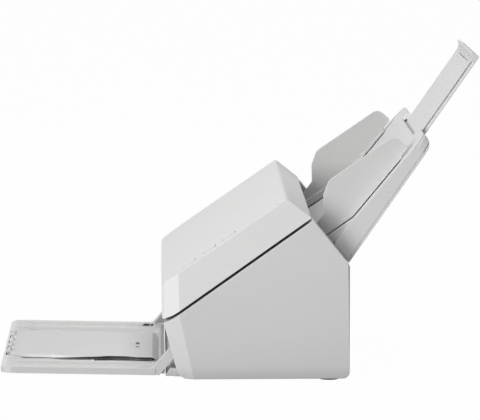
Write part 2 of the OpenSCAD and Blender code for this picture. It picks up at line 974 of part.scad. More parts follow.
module shaft_bushes() {
    color(acetal) both() for (p = shaft_axes) difference() {
        union() {
            rod(p, bush_r, frame_out - bush_t, frame_out);
            rod(p, bush_r + bush_flange, frame_half - over - touch, frame_half - touch);
        }
        rod(p, shaft_r + slip, frame_half - bush_t - over, frame_out + over);
    }
}

// One shaft through both frames to the outer belt on the left
module shaft(p) {
    rod(p, shaft_r, -shaft_out, shaft_half);
}

// Rubber tyres on a shaft
module tyres(p, shares) {
    hub = tyre_w / 2 + tyre_hub_side;
    for (share = shares) translate([share * frame_half, 0, 0]) difference() {
        union() {
            rod(p, roller_r, -tyre_w / 2, tyre_w / 2);
            rod(p, shaft_r + tyre_hub, -hub, hub);
        }
        rod(p, shaft_r + seat, -tyre_w, tyre_w);
    }
}

// Flanged belt pulley of radius r on a shaft, whose belt runs at x on the left
module pulley(p, r, x, bore) {
    side = pulley_w / 2;
    translate([-x, 0, 0]) difference() {
        union() {
            rod(p, r, -side, side);
            rod(p, r + pulley_flange, -side - pulley_flange_t, -side);
            rod(p, r + pulley_flange, side, side + pulley_flange_t);
        }
        rod(p, bore + seat, -2 * pulley_w, 2 * pulley_w);
    }
}

// Belt around two pulleys at a and b
module belt(a, ra, b, rb, x) {
    color(rubber) difference() {
        belt_body(a, ra + slip + belt_t, b, rb + slip + belt_t, -x, belt_w);
        belt_body(a, ra + slip, b, rb + slip, -x, 2 * belt_w);
    }
}

// Solid form of a belt around two circles
module belt_body(a, ra, b, rb, x, w) {
    run = unit(b - a);
    side = acos((ra - rb) / norm(b - a));
    up = [run[0] * cos(side) - run[1] * sin(side), run[0] * sin(side) + run[1] * cos(side)];
    down = [run[0] * cos(side) + run[1] * sin(side), run[1] * cos(side) - run[0] * sin(side)];
    rod(a, ra, x - w / 2, x + w / 2);
    rod(b, rb, x - w / 2, x + w / 2);
    slab_x(x - w / 2, x + w / 2)
        polygon([a + up * ra, a, a + down * ra, b + down * rb, b, b + up * rb]);
}

module exit_shaft() { color(steel) shaft(exit_axis); }
module exit_rollers() { color(rubber) tyres(exit_axis, tyre_shares); }
module exit_pulley() { color(shell_dark) pulley(exit_axis, pulley_r, outer_belt, shaft_r); }
module feed_shaft() { color(steel) shaft(feed_axis); }
module feed_rollers() { color(rubber) tyres(feed_axis, tyre_shares); }
module pick_shaft() { color(steel) shaft(pick_axis); }
module pick_rollers() { color(rubber) tyres(pick_axis, pick_shares); }
module pick_pulley() { color(shell_dark) pulley(pick_axis, pulley_r, outer_belt, shaft_r); }

// Double pulley: the inner groove takes the motor belt
module feed_pulley() {
    color(shell_dark) difference() {
        union() {
            pulley(feed_axis, pulley_r, outer_belt, shaft_r);
            pulley(feed_axis, pulley_r, inner_belt, shaft_r);
            rod(feed_axis, pulley_r, -outer_belt, -inner_belt);
        }
        rod(feed_axis, shaft_r + seat, -tower_in, -frame_half);
    }
}

module motor_pulley() {
    color(steel) {
        pulley(motor_axis, motor_pulley_r, inner_belt, motor_shaft_r - 2 * seat);
        rod(motor_axis, motor_shaft_r, -inner_belt - pulley_w, motor_shaft_l - frame_half);
    }
}

module motor_belt() { belt(motor_axis, motor_pulley_r, feed_axis, pulley_r, inner_belt); }
module roller_belt() { belt(exit_axis, pulley_r, pick_axis, pulley_r, outer_belt); }

module drive_motor() {
    face = -frame_half + 2 * touch;
    color(steel) difference() {
        union() {
            rod(motor_axis, motor_r, face, face + motor_l);
            rod(motor_axis, motor_r / 2, -frame_out, -frame_half + over);
            // Mounting foot down to the bottom plate
            block([face + over, motor_axis[0] - motor_foot, plate_t + touch],
                  [face + motor_l - motor_foot / 2, motor_axis[0] + motor_foot,
                   motor_axis[1] - motor_r + motor_foot / 2]);
        }
        rod(motor_axis, motor_shaft_r + slip, -tower_in, motor_shaft_l + slip - frame_half);
    }
}

// Sensor bar centred on the path at distance at, with its face at height off
module sensor_bar(at, off, up) {
    ledge = sensor_half - sensor_ledge_end;
    lie(paper_start, paper_tilt)
        translate([0, at, off]) mirror([0, 0, up ? 0 : 1]) difference() {
            union() {
                block([-sensor_half, -sensor_d / 2, 0], [sensor_half, sensor_d / 2, sensor_h]);
                block([-ledge, -sensor_d / 2 - sensor_ledge, sensor_h / 2],
                      [ledge, sensor_d / 2 + sensor_ledge, sensor_h / 2 + sensor_ledge_h]);
            }
            block([wall - glass_half, -sensor_slot / 2, -over],
                  [glass_half - wall, sensor_slot / 2, sensor_h / 2]);
        }
}

module glass_plate(at, off) {
    lie(paper_start, paper_tilt)
        block([-glass_half, at - glass_d / 2, off], [glass_half, at + glass_d / 2, off + glass_t]);
}

module lower_sensor() { color(black) sensor_bar(low_sensor_at, -guide_t - touch, false); }
module lower_glass() { color(glass) glass_plate(low_sensor_at, -glass_t - glass_sink); }

// Places of the posts under the main board
module board_places() {
    for (x = [board_inset - board_half, board_half - board_inset],
         y = [board_front + board_inset, board_rear - board_inset])
        translate([x, y, 0]) children();
}

// Chips of the main board: two corners and a height each, as shares of its half width, its depth
// and the height of the tallest
chip_shares = [[-0.23, 0.18, 0.12, 0.65, 0.33], [0.27, 0.12, 0.46, 0.53, 0.23],
               [0.58, 0.06, 0.85, 0.21, 1]];
module main_board() {
    color(board_green) {
        difference() {
            block([-board_half, board_front, board_low + slip],
                  [board_half, board_rear, board_low + board_t]);
            board_places() cylinder(r = board_hole_r, h = 3 * board_low, $fn = small_fn);
        }
        for (s = chip_shares)
            block([s[0] * board_half, board_front + s[1] * board_l, board_low + board_t - seat],
                  [s[2] * board_half, board_front + s[3] * board_l, board_low + board_t + s[4] * chip_h]);
    }
}

module power_jack() {
    color(black) translate([jack_x, body_d - wall - jack_l + socket_in, socket_h + slip]) difference() {
        block([-jack_w / 2, 0, 0], [jack_w / 2, jack_l + socket_proud, jack_h]);
        translate([0, jack_l + over, jack_h / 2]) rotate([90, 0, 0])
            cylinder(r = jack_hole_r, h = jack_l + over - jack_floor, $fn = small_fn);
    }
}

module usb_socket() {
    color(steel) translate([usb_x, body_d - wall - usb_l + socket_in, socket_h + slip]) difference() {
        block([-usb_w / 2, 0, 0], [usb_w / 2, usb_l + socket_proud, usb_h]);
        difference() {
            block([usb_sheet - usb_w / 2, usb_deep, usb_sheet],
                  [usb_w / 2 - usb_sheet, usb_l + over, usb_h - usb_sheet]);
            block([-usb_tongue_w / 2, 0, usb_h / 2 - usb_tongue_h / 2],
                  [usb_tongue_w / 2, usb_l - over, usb_h / 2 + usb_tongue_h / 2]);
        }
    }
}

module cover_hinge_pins() {
    color(steel) both() rod(hinge, hinge_pin_r, ear_in - over, tower_in + pin_deep - wall - fit);
}

module tray_pins() {
    color(steel) both() rod(tray_pivot, tray_pin_r, arm_in, tower_in + pin_deep - wall - fit);
}

// Cover

lip_slack = 6;
module top_cover() {
    inner = inset([[0, -over], [knee[0] + lip_slack, -over], [knee[0] + lip_slack, knee[1] - lip_slack],
                   knee, ridge, [0, front_h]], wall);
    color(shell) difference() {
        intersection() {
            along_x(body_w)
                polygon(rounded([[0, part_front_h], part_bend, cover_rear, knee, ridge, [0, front_h]],
                                [cover_low_r, 0, 0, 0, ridge_r, cover_edge_r]));
            plan(0);
            draft(true, 0);
        }
        intersection() {
            along_x(body_w) polygon(inner);
            plan(wall);
            draft(true, wall);
            // Leaves the rear lip of the cover closed down to the gap
            along_x(body_w) polygon(rectangle(-over, -over, cover_rear[0] - wall, body_h + over));
        }
        key_places() block([-key_w / 2 - key_gap, -key_gap, -2 * wall],
                           [key_w / 2 + key_gap, key_l + key_gap, over]);
        on_top() translate([light_x, light_along, -2 * wall])
            cylinder(r = light_r + slip, h = 3 * wall, $fn = small_fn);
    }
    // Posts that carry the key board
    color(shell) on_top() for (along = [keys_front - key_post_ahead, light_along - key_post_behind])
        translate([key_x, along, key_board_t - key_board_low])
            cylinder(r = key_post_r, h = key_board_low - key_board_t - wall + seat, $fn = small_fn);
}

// Lays a shape on the sloping top
module on_top() {
    lie([0, front_h], top_tilt) children();
}

// Places the three keys on the slope, counted from the front
module key_place(i) {
    on_top() translate([key_x, keys_front + i * key_pitch, 0]) children();
}

module key_places() {
    for (i = [0:2]) key_place(i) children();
}

// A key cap with a skirt that stops it from inside
module key() {
    block([-key_w / 2, 0, -wall - key_drop], [key_w / 2, key_l, key_proud]);
    block([-key_w / 2 - key_skirt, -key_skirt, -wall - key_drop],
          [key_w / 2 + key_skirt, key_l + key_skirt, -wall - fit]);
}

module scan_key() { color(key_grey) key_place(2) key(); }
module stop_key() { color(key_grey) key_place(1) key(); }
module power_key() { color(key_grey) key_place(0) key(); }

module key_board() {
    color(board_green) difference() {
        union() {
            on_top() block([key_x - key_w / 2 - key_board_side, keys_front - key_board_end, -key_board_low],
                           [light_x + key_board_side + over, light_along + key_board_end / 2,
                            key_board_t - key_board_low]);
            // Switch under each key
            key_places() translate([0, key_l / 2, 0])
                block([-key_switch / 2, -key_switch / 2, key_board_t - key_board_low - seat],
                      [key_switch / 2, key_switch / 2, -wall - key_drop - key_travel - key_switch_gap]);
        }
        on_top() translate([light_x, light_along, -2 * key_board_low])
            cylinder(r = light_lead_r, h = 2 * key_board_low, $fn = small_fn);
    }
}

module status_light() {
    color(glass) on_top() translate([light_x, light_along, light_proud - light_l - wall])
        cylinder(r = light_r, h = light_l + wall, $fn = small_fn);
}

// Side view of the upper guide: walls from the paper path up to the rim
rim_low = [0, fit];
rim_high = rim_low + [0, rim_t / cos(part_tilt)];
rim_back = wall + rim_side;
rim_end = cover_rear - [rim_back, rim_back * tan(part_tilt)];
upper_outline = [paper(upper_front, paper_gap), paper(upper_end, paper_gap),
                 rim_end + rim_high, part_bend + rim_high, upper_lip + rim_high];
upper_inner = inset(upper_outline, upper_t);

module upper_paper_guide() {
    color(shell_dark) difference() {
        union() {
            difference() {
                along_x(2 * upper_half) polygon(upper_outline);
                along_x(2 * (upper_half - upper_t))
                    polygon([upper_inner[0], upper_inner[1], cover_rear - [rim_back + upper_t, -2 * wall],
                             [ridge[0], body_h], [upper_lip[0] + upper_t, body_h], upper_inner[4]]);
            }
            // Rim that closes the cover over the towers
            intersection() {
                both() slab_x(upper_half - seat, rim_half)
                    polygon([upper_lip + rim_low, part_bend + rim_low, rim_end + rim_low,
                             rim_end + rim_high, part_bend + rim_high, upper_lip + rim_high]);
                plan(wall + fit);
            }
            // Walls that close the guide beside the tray arms
            intersection() {
                along_x(2 * upper_half) polygon(upper_outline);
                both() {
                    block([mouth_half - upper_t, 0, 0], [mouth_half, mouth_back, body_h]);
                    block([mouth_half - upper_t, mouth_back - upper_t, 0], [upper_half, mouth_back, body_h]);
                }
            }
            both() hinge_ear();
            for (share = tyre_shares) {
                idler_ribs(share * frame_half, exit_at, idler_r, idler_w);
                idler_ribs(share * frame_half, feed_at, idler_r, idler_w);
            }
            idler_ribs(0, pick_at, separation_r, separation_w);
        }
        both() {
            rod(hinge, hinge_pin_r + slip, ear_in - over, ear_out + over);
            // Room for the arms of the tray
            block([mouth_half, -over, 0], [ear_in - seat, mouth_back - upper_t, part_bend[1] - over]);
        }
        for (share = tyre_shares) {
            idler_window(share * frame_half, exit_at, idler_r, idler_w);
            idler_window(share * frame_half, feed_at, idler_r, idler_w);
        }
        idler_window(0, pick_at, separation_r, separation_w);
        for (p = [exit_idler_axis, feed_idler_axis, separation_axis])
            rod(p, idler_shaft_r + slip, -frame_half, frame_half);
        lie(paper_start, paper_tilt) sensor_window(high_sensor_at, 0, paper_gap + 2 * upper_t);
    }
}

// Ear that hangs from the rim to the hinge pin
module hinge_ear() {
    rod(hinge, ear_r, ear_in, ear_out);
    slab_x(ear_in, ear_out)
        polygon([hinge - [hinge_boss_r, 0], hinge + [hinge_boss_r, 0], hinge + ear_rise, hinge + ear_fall]);
}

// Two ribs that carry the shaft of an idler of radius r and width w at x
module idler_ribs(x, at, r, w) {
    lie(paper_start, paper_tilt) for (side = [-1, 1])
        translate([x + side * (w / 2 + rib_gap + rib_t / 2), at, 0])
            block([-rib_t / 2, -rib_half, paper_gap + upper_t - seat],
                  [rib_t / 2, rib_half, idler_off + r + rib_over]);
}

exit_idler_axis = paper(exit_at, idler_off + idler_r);
feed_idler_axis = paper(feed_at, idler_off + idler_r);
separation_axis = paper(pick_at, idler_off + separation_r);

// Window in the upper guide around an idler
module idler_window(x, at, r, w) {
    lie(paper_start, paper_tilt) translate([x, at, 0])
        block([-w / 2 - window_end, -r - window_gap, 0],
              [w / 2 + window_end, r + window_gap, paper_gap + 2 * upper_t]);
}

// Idlers: dished rollers on a thin shaft between two ribs each
module idlers(p, r, w, shares) {
    for (share = shares) translate([share * frame_half, 0, 0]) {
        difference() {
            rod(p, r, -w / 2, w / 2);
            rod(p, r - idler_skin, -w / 2 - over, idler_dish - w / 2);
        }
        rod(p, idler_shaft_r, -w / 2 - rib_gap - rib_t, w / 2 + rib_gap + rib_t);
    }
}

module exit_idlers() { color(acetal) idlers(exit_idler_axis, idler_r, idler_w, tyre_shares); }
module feed_idlers() { color(acetal) idlers(feed_idler_axis, idler_r, idler_w, tyre_shares); }
module separation_roller() { color(rubber) idlers(separation_axis, separation_r, separation_w, [0]); }

module upper_sensor() { color(black) sensor_bar(high_sensor_at, paper_gap + upper_t + touch, true); }
module upper_glass() { color(glass) glass_plate(high_sensor_at, paper_gap + 2 * glass_sink); }

// Chute

module chute_front() {
    color(shell) difference() {
        union() {
            chute_part(back_t + back_gap, chute_l);
            // Ramp that meets the lower paper guide
            along_x(2 * ramp_half)
                polygon([paper(ramp_front, 0), paper(ramp_front + over, -ramp_t),
                         chute(ramp_foot, -skin), chute(ramp_reach, -skin), chute_bend]);
            // Tongues
            both() lie(back_foot, back_tilt) translate([tongue_x, 0, tongue_off])
                block([-tongue_w / 2, -tongue_l, 0], [tongue_w / 2, back_low + tongue_root, tongue_t]);
        }
        // Hollow behind the skin
        along_x(2 * (chute_half - wall))
            polygon([back(back_low + wall, 0), back(back_l - wall, 0),
                     chute(chute_l - wall - chute_toe[0], -skin), chute(2 * chute_toe[0], -skin),
                     back(back_low + wall, tongue_off + tongue_t + back_gap)]);
        // Way out of the extension
        lie(back_foot, back_tilt)
            block([-ext_half - fit, back_l / 2, 0],
                  [ext_half + fit, back_l + 2 * wall, ext_off + ext_t + fit]);
        lie(chute_foot, chute_tilt)
            block([-ext_half - fit, chute_l - ext_notch, -3 * skin],
                  [ext_half + fit, chute_l + 3 * wall, over]);
        guide_slot(1);
        mirror([1, 0, 0]) guide_slot(-1);
    }
}

// Slot in the skin for the stem of a guide, above (1) or below (-1) the pinion
module guide_slot(side) {
    lie(chute_foot, chute_tilt) translate([0, rack_line(side), 0])
        block([slot_in, -stem_l / 2 - slot_side, -slot_deep],
              [guide_in + fit, stem_l / 2 + slot_side, slot_deep]);
}

// Middle of the rack body above (1) or below (-1) the pinion
function rack_line(side) = pinion_at + side * (pinion_r + (rack_h + tooth_module) / 2);

// The part of the chute that lies between two heights off its back face
module chute_part(low, high) {
    intersection() {
        along_x(2 * chute_half)
            polygon(rounded([back(back_low, 0), back(back_l, 0), back_corner, chute(chute_toe_run, 0),
                             chute(-chute_toe[0], -chute_toe[1])],
                            [0, chute_r, 0, 0, 0]));
        along_x(2 * chute_half + over) polygon([back(-wall, low), back(back_l + wall, low),
                                                back(back_l + wall, high), back(-wall, high)]);
        chute_plan();
    }
}

// Rounds the upper corners of the chute
module chute_plan() {
    lie(back_foot, back_tilt) translate([0, 0, -chute_l / 2]) linear_extrude(chute_l)
        polygon(rounded(rectangle(-chute_half - seat, -chute_l / 3, chute_half + seat, back_l + seat),
                        [0, 0, chute_plan_r, chute_plan_r]));
}

module chute_back() {
    color(shell) difference() {
        union() {
            chute_part(-over, back_t);
            // Runners under and beside the extension
            both() lie(back_foot, back_tilt) {
                block([ext_half - runner_in, back_low + runner_start, back_t - seat],
                      [ext_half - runner_in + runner_w, back_l - wall, ext_off - fit]);
                block([ext_half + fit, back_low + runner_start, back_t - seat],
                      [ext_half + fit + runner_w, back_l - runner_end, ext_off + runner_h]);
            }
        }
        // Slots that lighten the back
        lie(back_foot, back_tilt) for (i = [-vent_last:vent_last])
            translate([i * vent_pitch, vent_up, -over])
                block([-vent_w / 2, 0, 0], [vent_w / 2, vent_l, over + back_t / 2]);
    }
}

// Half angle of a pinion tooth at radius r, on its involute flank
function tooth_half(r) =
    let (base = pinion_r * cos(pressure),
         a = acos(min(1, base / max(r, base))),
         degree = 180 / PI)
    ((PI * tooth_module / 2 - tooth_slack) / 2 / pinion_r + tan(pressure) - tan(a)) * degree - pressure + a;

module guide_pinion() {
    radii = [pinion_r - tooth_root, pinion_r * cos(pressure), pinion_r,
             pinion_r + tooth_module / 2, pinion_r + tooth_module];
    color(acetal) lie(chute_foot, chute_tilt) translate([0, pinion_at, rack_low]) difference() {
        linear_extrude(rack_t) polygon([for (i = [0:pinion_teeth - 1])
            let (mid = 90 + i * 360 / pinion_teeth)
            each concat([for (r = radii) r * heading(mid - tooth_half(r))],
                        [for (k = [4:-1:0]) radii[k] * heading(mid + tooth_half(radii[k]))])]);
        translate([0, 0, -over]) cylinder(r = pinion_pin_r + slip, h = rack_t + 2 * over, $fn = small_fn);
    }
}

module pinion_pin() {
    color(steel) lie(chute_foot, chute_tilt) translate([0, pinion_at, rack_low - pinion_head_gap]) {
        cylinder(r = pinion_pin_r, h = rack_t + rack_gap + pinion_head_gap - seat, $fn = small_fn);
        translate([0, 0, -pinion_head_t]) cylinder(r = pinion_head_r, h = pinion_head_t, $fn = small_fn);
    }
}

// A rack whose pitch line lies one pinion radius off the pinion, from x1 to x2
module rack(side, x1, x2) {
    pitch = PI * tooth_module;
    first = ceil(x1 / pitch);
    last = floor(x2 / pitch) - 1;
    half = (pitch / 2 - tooth_slack) / 2;
    root = half + tooth_root * tan(pressure);
    tip = half - tooth_module * tan(pressure);
    color(acetal) lie(chute_foot, chute_tilt)
        translate([0, pinion_at + side * pinion_r, rack_low]) mirror([0, side > 0 ? 0 : 1, 0])
            linear_extrude(rack_t) polygon(concat(
                [[x1, tooth_root]],
                [for (k = [first:last]) each
                    let (m = (k + 0.5) * pitch)
                    [[m - root, tooth_root], [m - tip, -tooth_module],
                     [m + tip, -tooth_module], [m + root, tooth_root]]],
                [[x2, tooth_root], [x2, rack_h], [x1, rack_h]]));
}

module right_rack() { rack(1, -rack_tail, guide_in); }
module left_rack() { rack(-1, -guide_in, rack_tail); }

// One side guide, on the right; its stem reaches the rack through the slot
module side_guide(side) {
    bend = meet(paper(0, guide_gap), heading(paper_tilt), chute(0, guide_gap), heading(chute_tilt));
    step = guide_l - guide_step_l;
    toe = ramp_front - guide_ahead_l;
    blade = concat([paper(toe, guide_gap), bend, chute(step, guide_gap),
                    chute(step, guide_gap + guide_step_h), chute(guide_l, guide_gap + guide_step_h)],
                   [for (s = guide_shares) chute(s[0] * guide_l, s[1] * guide_h)]);
    radii = concat([0, 0, 0, 0, guide_r / 4], guide_r * guide_r_shares);
    slab_x(guide_in, guide_out) polygon(rounded(blade, radii));
    // Rest for the edge of the paper on the ramp
    slab_x(guide_in - guide_foot_w, guide_in + seat)
        polygon([paper(toe, guide_gap), bend, bend + guide_rest_t * heading(chute_tilt),
                 bend + guide_rest_t * heading(paper_tilt + 90), paper(toe, guide_gap + guide_rest_t)]);
    // The stem reaches up to the blade, also where that lies over the ramp
    low = rack_line(side) - stem_l / 2;
    rise = max(0, guide_foot_up - low) * tan(chute_tilt - paper_tilt);
    lie(chute_foot, chute_tilt) {
        block([guide_in - guide_foot_w, guide_foot_up, guide_gap],
              [guide_in + seat, step - guide_gap, guide_gap + guide_foot_t]);
        translate([guide_in, rack_line(side), 0])
            block([-stem_w, -stem_l / 2, rack_low + rack_t], [seat, stem_l / 2, guide_gap + rise + seat]);
    }
}

module right_guide() { color(shell) side_guide(1); }
module left_guide() { color(shell) mirror([1, 0, 0]) side_guide(-1); }

module chute_extension() {
    top = ext_off + ext_t;
    color(shell) lie(back_foot, back_tilt) difference() {
        union() {
            block([-ext_half, ext_start, ext_off], [ext_half, ext_end, top]);
            // Curled lip
            translate([0, ext_end, top]) along_x(ext_w)
                polygon(concat([for (s = lip_shares) [s[0] * lip_l, s[1] * lip_rise]],
                               [[0, -seat], [-lip_l, -seat]]));
        }
        // Groove along each edge
        both() block([ext_half - ext_groove_d, ext_start - over, ext_off + ext_groove_low],
                     [ext_half + over, ext_end - ext_block, ext_off + ext_groove_low + ext_groove_t]);
        // Slot at the foot of the lip
        block([-ext_slot_half, ext_end - ext_slot_back, top - ext_slot_d],
              [ext_slot_half, ext_end - ext_slot_back + ext_slot_w, top + over]);
        // Shallow channels on the underside
        for (i = [-2:2]) translate([i * ext_rib_pitch, 0, 0])
            block([-ext_rib_w / 2, ext_start + ext_rib_start, ext_off - over],
                  [ext_rib_w / 2, ext_end - ext_rib_end, ext_off + ext_rib_d]);
    }
}

// Stacker tray, drawn flat with its front edge at depth 0 and then tilted about its rear edge

module on_tray() {
    translate([0, -tray_rear, tray_low])
        rotate([-tray_tilt, 0, 0])
            translate([0, -tray_l, 0])
                children();
}

// Places a shape on the axis of the flap, in the tray's frame
module on_flap_axis() {
    translate([0, flap_front, flap_axis_h]) children();
}

// Edge of the recess beside the flap, and the two edges of the outer channel
channel_x = [for (share = channel_shares) flap_half + share * (tray_half - flap_half)];
module stacker_tray() {
    color(shell) {
        on_tray() tray_plate();
        on_tray() on_flap_axis() difference() {
            for (share = knuckle_shares) translate([share * flap_half - knuckle_w / 2, 0, 0]) {
                rod([0, 0], knuckle_r, 0, knuckle_split);
                block([0, -knuckle_root, tray_floor - flap_axis_h - seat], [knuckle_split, 0, 0]);
            }
            rod([0, 0], flap_pin_r + seat, -flap_w, flap_w);
        }
        both() tray_arm();
    }
}

module tray_plate() {
    over_half = mouth_half - tray_over_gap;
    rear = tray_l + tray_over - rear_rim;
    difference() {
        linear_extrude(tray_t) union() {
            polygon(rounded(rectangle(-tray_half, 0, tray_half, tray_l),
                            [tray_corner_r, tray_corner_r, 0, 0]));
            polygon(rectangle(-over_half, tray_l - seat, over_half, tray_l + tray_over));
        }
        // Front edge, bevelled
        along_x(2 * tray_half + over)
            polygon([[-over, tray_t - nose_d], [nose_l, tray_t], [nose_l, tray_t + over],
                     [-over, tray_t + over]]);
        // Recess of the flap
        translate([0, 0, tray_floor]) linear_extrude(tray_t)
            polygon(rectangle(-flap_half - flap_side, flap_front - flap_ends[0],
                              flap_half + flap_side, rear));
        // Channels that run out on ramps at the front
        both() {
            slab_x(flap_half, channel_x[0]) polygon(channel(tray_floor, rear));
            slab_x(channel_x[1], channel_x[2]) polygon(channel(tray_t - channel_d, tray_l - channel_rear));
        }
        // Opening for a finger under the edge of the flap
        block([flap_half - finger_in, flap_front + finger_shares[0] * flap_l, -over],
              [flap_half + finger_out_share * (tray_half - flap_half),
               flap_front + finger_shares[1] * flap_l, tray_t]);
        // Low front lip, so that the flap can lie over it
        block([-flap_half - flap_side, -over, tray_t - flap_lip],
              [flap_half + flap_side, flap_front, tray_t + over]);
    }
}

// Side view of a channel with its floor at height low and its end at depth rear
function channel(low, rear) = [[channel_front, tray_t], [channel_front + channel_ramp, low],
                               [rear, low], [rear, tray_t + over], [channel_front, tray_t + over]];

// One arm from the pivot down to the rear of the plate
module tray_arm() {
    side = [-sin(arm_tilt), cos(arm_tilt)] * arm_t / 2;
    reach = (tray_pivot[1] - tray_t + arm_sink) / sin(arm_tilt);
    toe = -tray_rear - arm_toe;
    difference() {
        union() {
            slab_x(arm_in, arm_out)
                polygon([tray_pivot + side, on_slope(tray_pivot, arm_tilt, -reach, arm_t / 2),
                         [toe, tray_t - arm_top], [toe, arm_sink], [arm_heel[0] - tray_rear, tray_low],
                         [arm_heel[1] - tray_rear, tray_low], tray_pivot - side]);
            rod(tray_pivot, tray_boss_r, arm_in, arm_out);
        }
        rod(tray_pivot, tray_pin_r + slip, arm_in - over, arm_out + over);
    }
}

// Outline of the flap: straight on the left, waved on the right
flap_edge = [for (i = [0:len(flap_shares) - 1])
    [flap_half - flap_in_shares[i] * flap_waist, flap_shares[i] * flap_l]];
module tray_flap() {
    end = flap_front + flap_l;
    top = flap_axis_h;
    color(shell) on_tray() difference() {
        union() {
            translate([0, flap_front, top - flap_t]) linear_extrude(flap_t)
                polygon(rounded(concat([[-flap_half, flap_ends[0]], [flap_half - flap_waist, flap_ends[0]]],
                                       flap_edge, [[-flap_half, flap_l]]),
                                concat([0, 0], [for (i = [2:len(flap_shares)]) flap_r / 3],
                                       [flap_r / 4, flap_r / 4])));
            on_flap_axis() for (share = knuckle_shares)
                translate([share * flap_half - knuckle_w / 2 + knuckle_split + fit, 0, 0]) {
                    rod([0, 0], knuckle_r, 0, knuckle_w - knuckle_split - fit);
                    block([0, 0, -flap_t], [knuckle_w - knuckle_split - fit, knuckle_root, 0]);
                }
        }
        on_flap_axis() rod([0, 0], flap_pin_r + slip, -flap_w, flap_w);
        // Sloping end
        along_x(flap_w + over)
            polygon([[end - flap_slope_l, top], [end + over, top - flap_slope_d],
                     [end + over, top + over], [end - flap_slope_l, top + over]]);
        // Grip: a shallow wedge with two openings at its deep end, and two short marks
        along_x(2 * grip_half)
            polygon([[end - grip_rear - grip_l, top], [end - grip_rear, top - grip_d],
                     [end - grip_rear, top + over], [end - grip_rear - grip_l, top + over]]);
        both() {
            block([grip_half - grip_slot[0], end - grip_rear - grip_slot[1], 0],
                  [grip_half + over, end - grip_rear, top]);
            translate([mark_x - mark_size[0] / 2, end - mark_rear - mark_size[1], top - mark_d])
                cube([mark_size[0], mark_size[1], tray_t]);
        }
    }
}

module flap_pins() {
    color(steel) on_tray() on_flap_axis() for (share = knuckle_shares)
        translate([share * flap_half, 0, 0]) rod([0, 0], flap_pin_r, -knuckle_w / 2, knuckle_w / 2);
}

placed() lower_housing();
placed() bottom_plate();
placed() rubber_feet();
placed() housing_screws();
placed() lower_paper_guide();
placed() side_frames();
placed() shaft_bushes();
placed() lower_sensor();
placed() lower_glass();
placed() main_board();
placed() power_jack();
placed() usb_socket();
placed() drive_motor();
placed() motor_pulley();
placed() motor_belt();
placed() roller_belt();
placed() exit_shaft();
placed() exit_rollers();
placed() exit_pulley();
placed() feed_shaft();
placed() feed_rollers();
placed() feed_pulley();
placed() pick_shaft();
placed() pick_rollers();
placed() pick_pulley();
placed() cover_hinge_pins();
placed() tray_pins();
placed() top_cover();
placed() upper_paper_guide();
placed() upper_sensor();
placed() upper_glass();
placed() key_board();
placed() scan_key();
placed() stop_key();
placed() power_key();
placed() status_light();
placed() exit_idlers();
placed() feed_idlers();
placed() separation_roller();
placed() chute_front();
placed() chute_back();
placed() guide_pinion();
placed() pinion_pin();
placed() right_guide();
placed() right_rack();
placed() left_guide();
placed() left_rack();
placed() chute_extension();
placed() stacker_tray();
placed() tray_flap();
placed() flap_pins();
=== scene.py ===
# Document scanner, dressed over its CAD frame: case, cover, chute with side guides, stacker tray
import bpy
import bmesh
import json
import math
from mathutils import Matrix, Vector

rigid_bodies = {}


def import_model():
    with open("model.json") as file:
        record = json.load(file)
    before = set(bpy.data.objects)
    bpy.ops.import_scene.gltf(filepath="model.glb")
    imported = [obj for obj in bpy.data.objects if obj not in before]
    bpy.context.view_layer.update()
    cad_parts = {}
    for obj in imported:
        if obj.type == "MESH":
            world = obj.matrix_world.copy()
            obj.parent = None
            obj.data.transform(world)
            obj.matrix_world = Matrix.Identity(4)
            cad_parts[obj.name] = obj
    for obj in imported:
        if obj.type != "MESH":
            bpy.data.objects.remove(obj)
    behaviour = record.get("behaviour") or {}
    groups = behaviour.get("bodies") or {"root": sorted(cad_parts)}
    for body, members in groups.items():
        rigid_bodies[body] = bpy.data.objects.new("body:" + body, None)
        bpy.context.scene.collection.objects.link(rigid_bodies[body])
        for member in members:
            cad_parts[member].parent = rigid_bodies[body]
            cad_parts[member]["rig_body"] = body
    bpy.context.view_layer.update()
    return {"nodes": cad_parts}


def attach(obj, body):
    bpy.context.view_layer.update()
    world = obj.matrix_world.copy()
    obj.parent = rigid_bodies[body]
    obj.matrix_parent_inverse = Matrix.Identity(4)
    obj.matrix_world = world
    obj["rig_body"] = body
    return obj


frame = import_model()
nodes = frame["nodes"]


# a node's output that can stand in a sum
class Wire:
    def __init__(self, finish, socket):
        self.finish = finish
        self.socket = socket

    def combine(self, operation, first, second):
        made = self.finish.node("ShaderNodeMath", {"operation": operation}, {0: first, 1: second})
        return Wire(self.finish, made.outputs[0])

    def __add__(self, other):
        return self.combine("ADD", self, other)

    def __radd__(self, other):
        return self.combine("ADD", other, self)

    def __sub__(self, other):
        return self.combine("SUBTRACT", self, other)

    def __rsub__(self, other):
        return self.combine("SUBTRACT", other, self)

    def __mul__(self, other):
        return self.combine("MULTIPLY", self, other)

    def __rmul__(self, other):
        return self.combine("MULTIPLY", other, self)

    def __truediv__(self, other):
        return self.combine("DIVIDE", self, other)


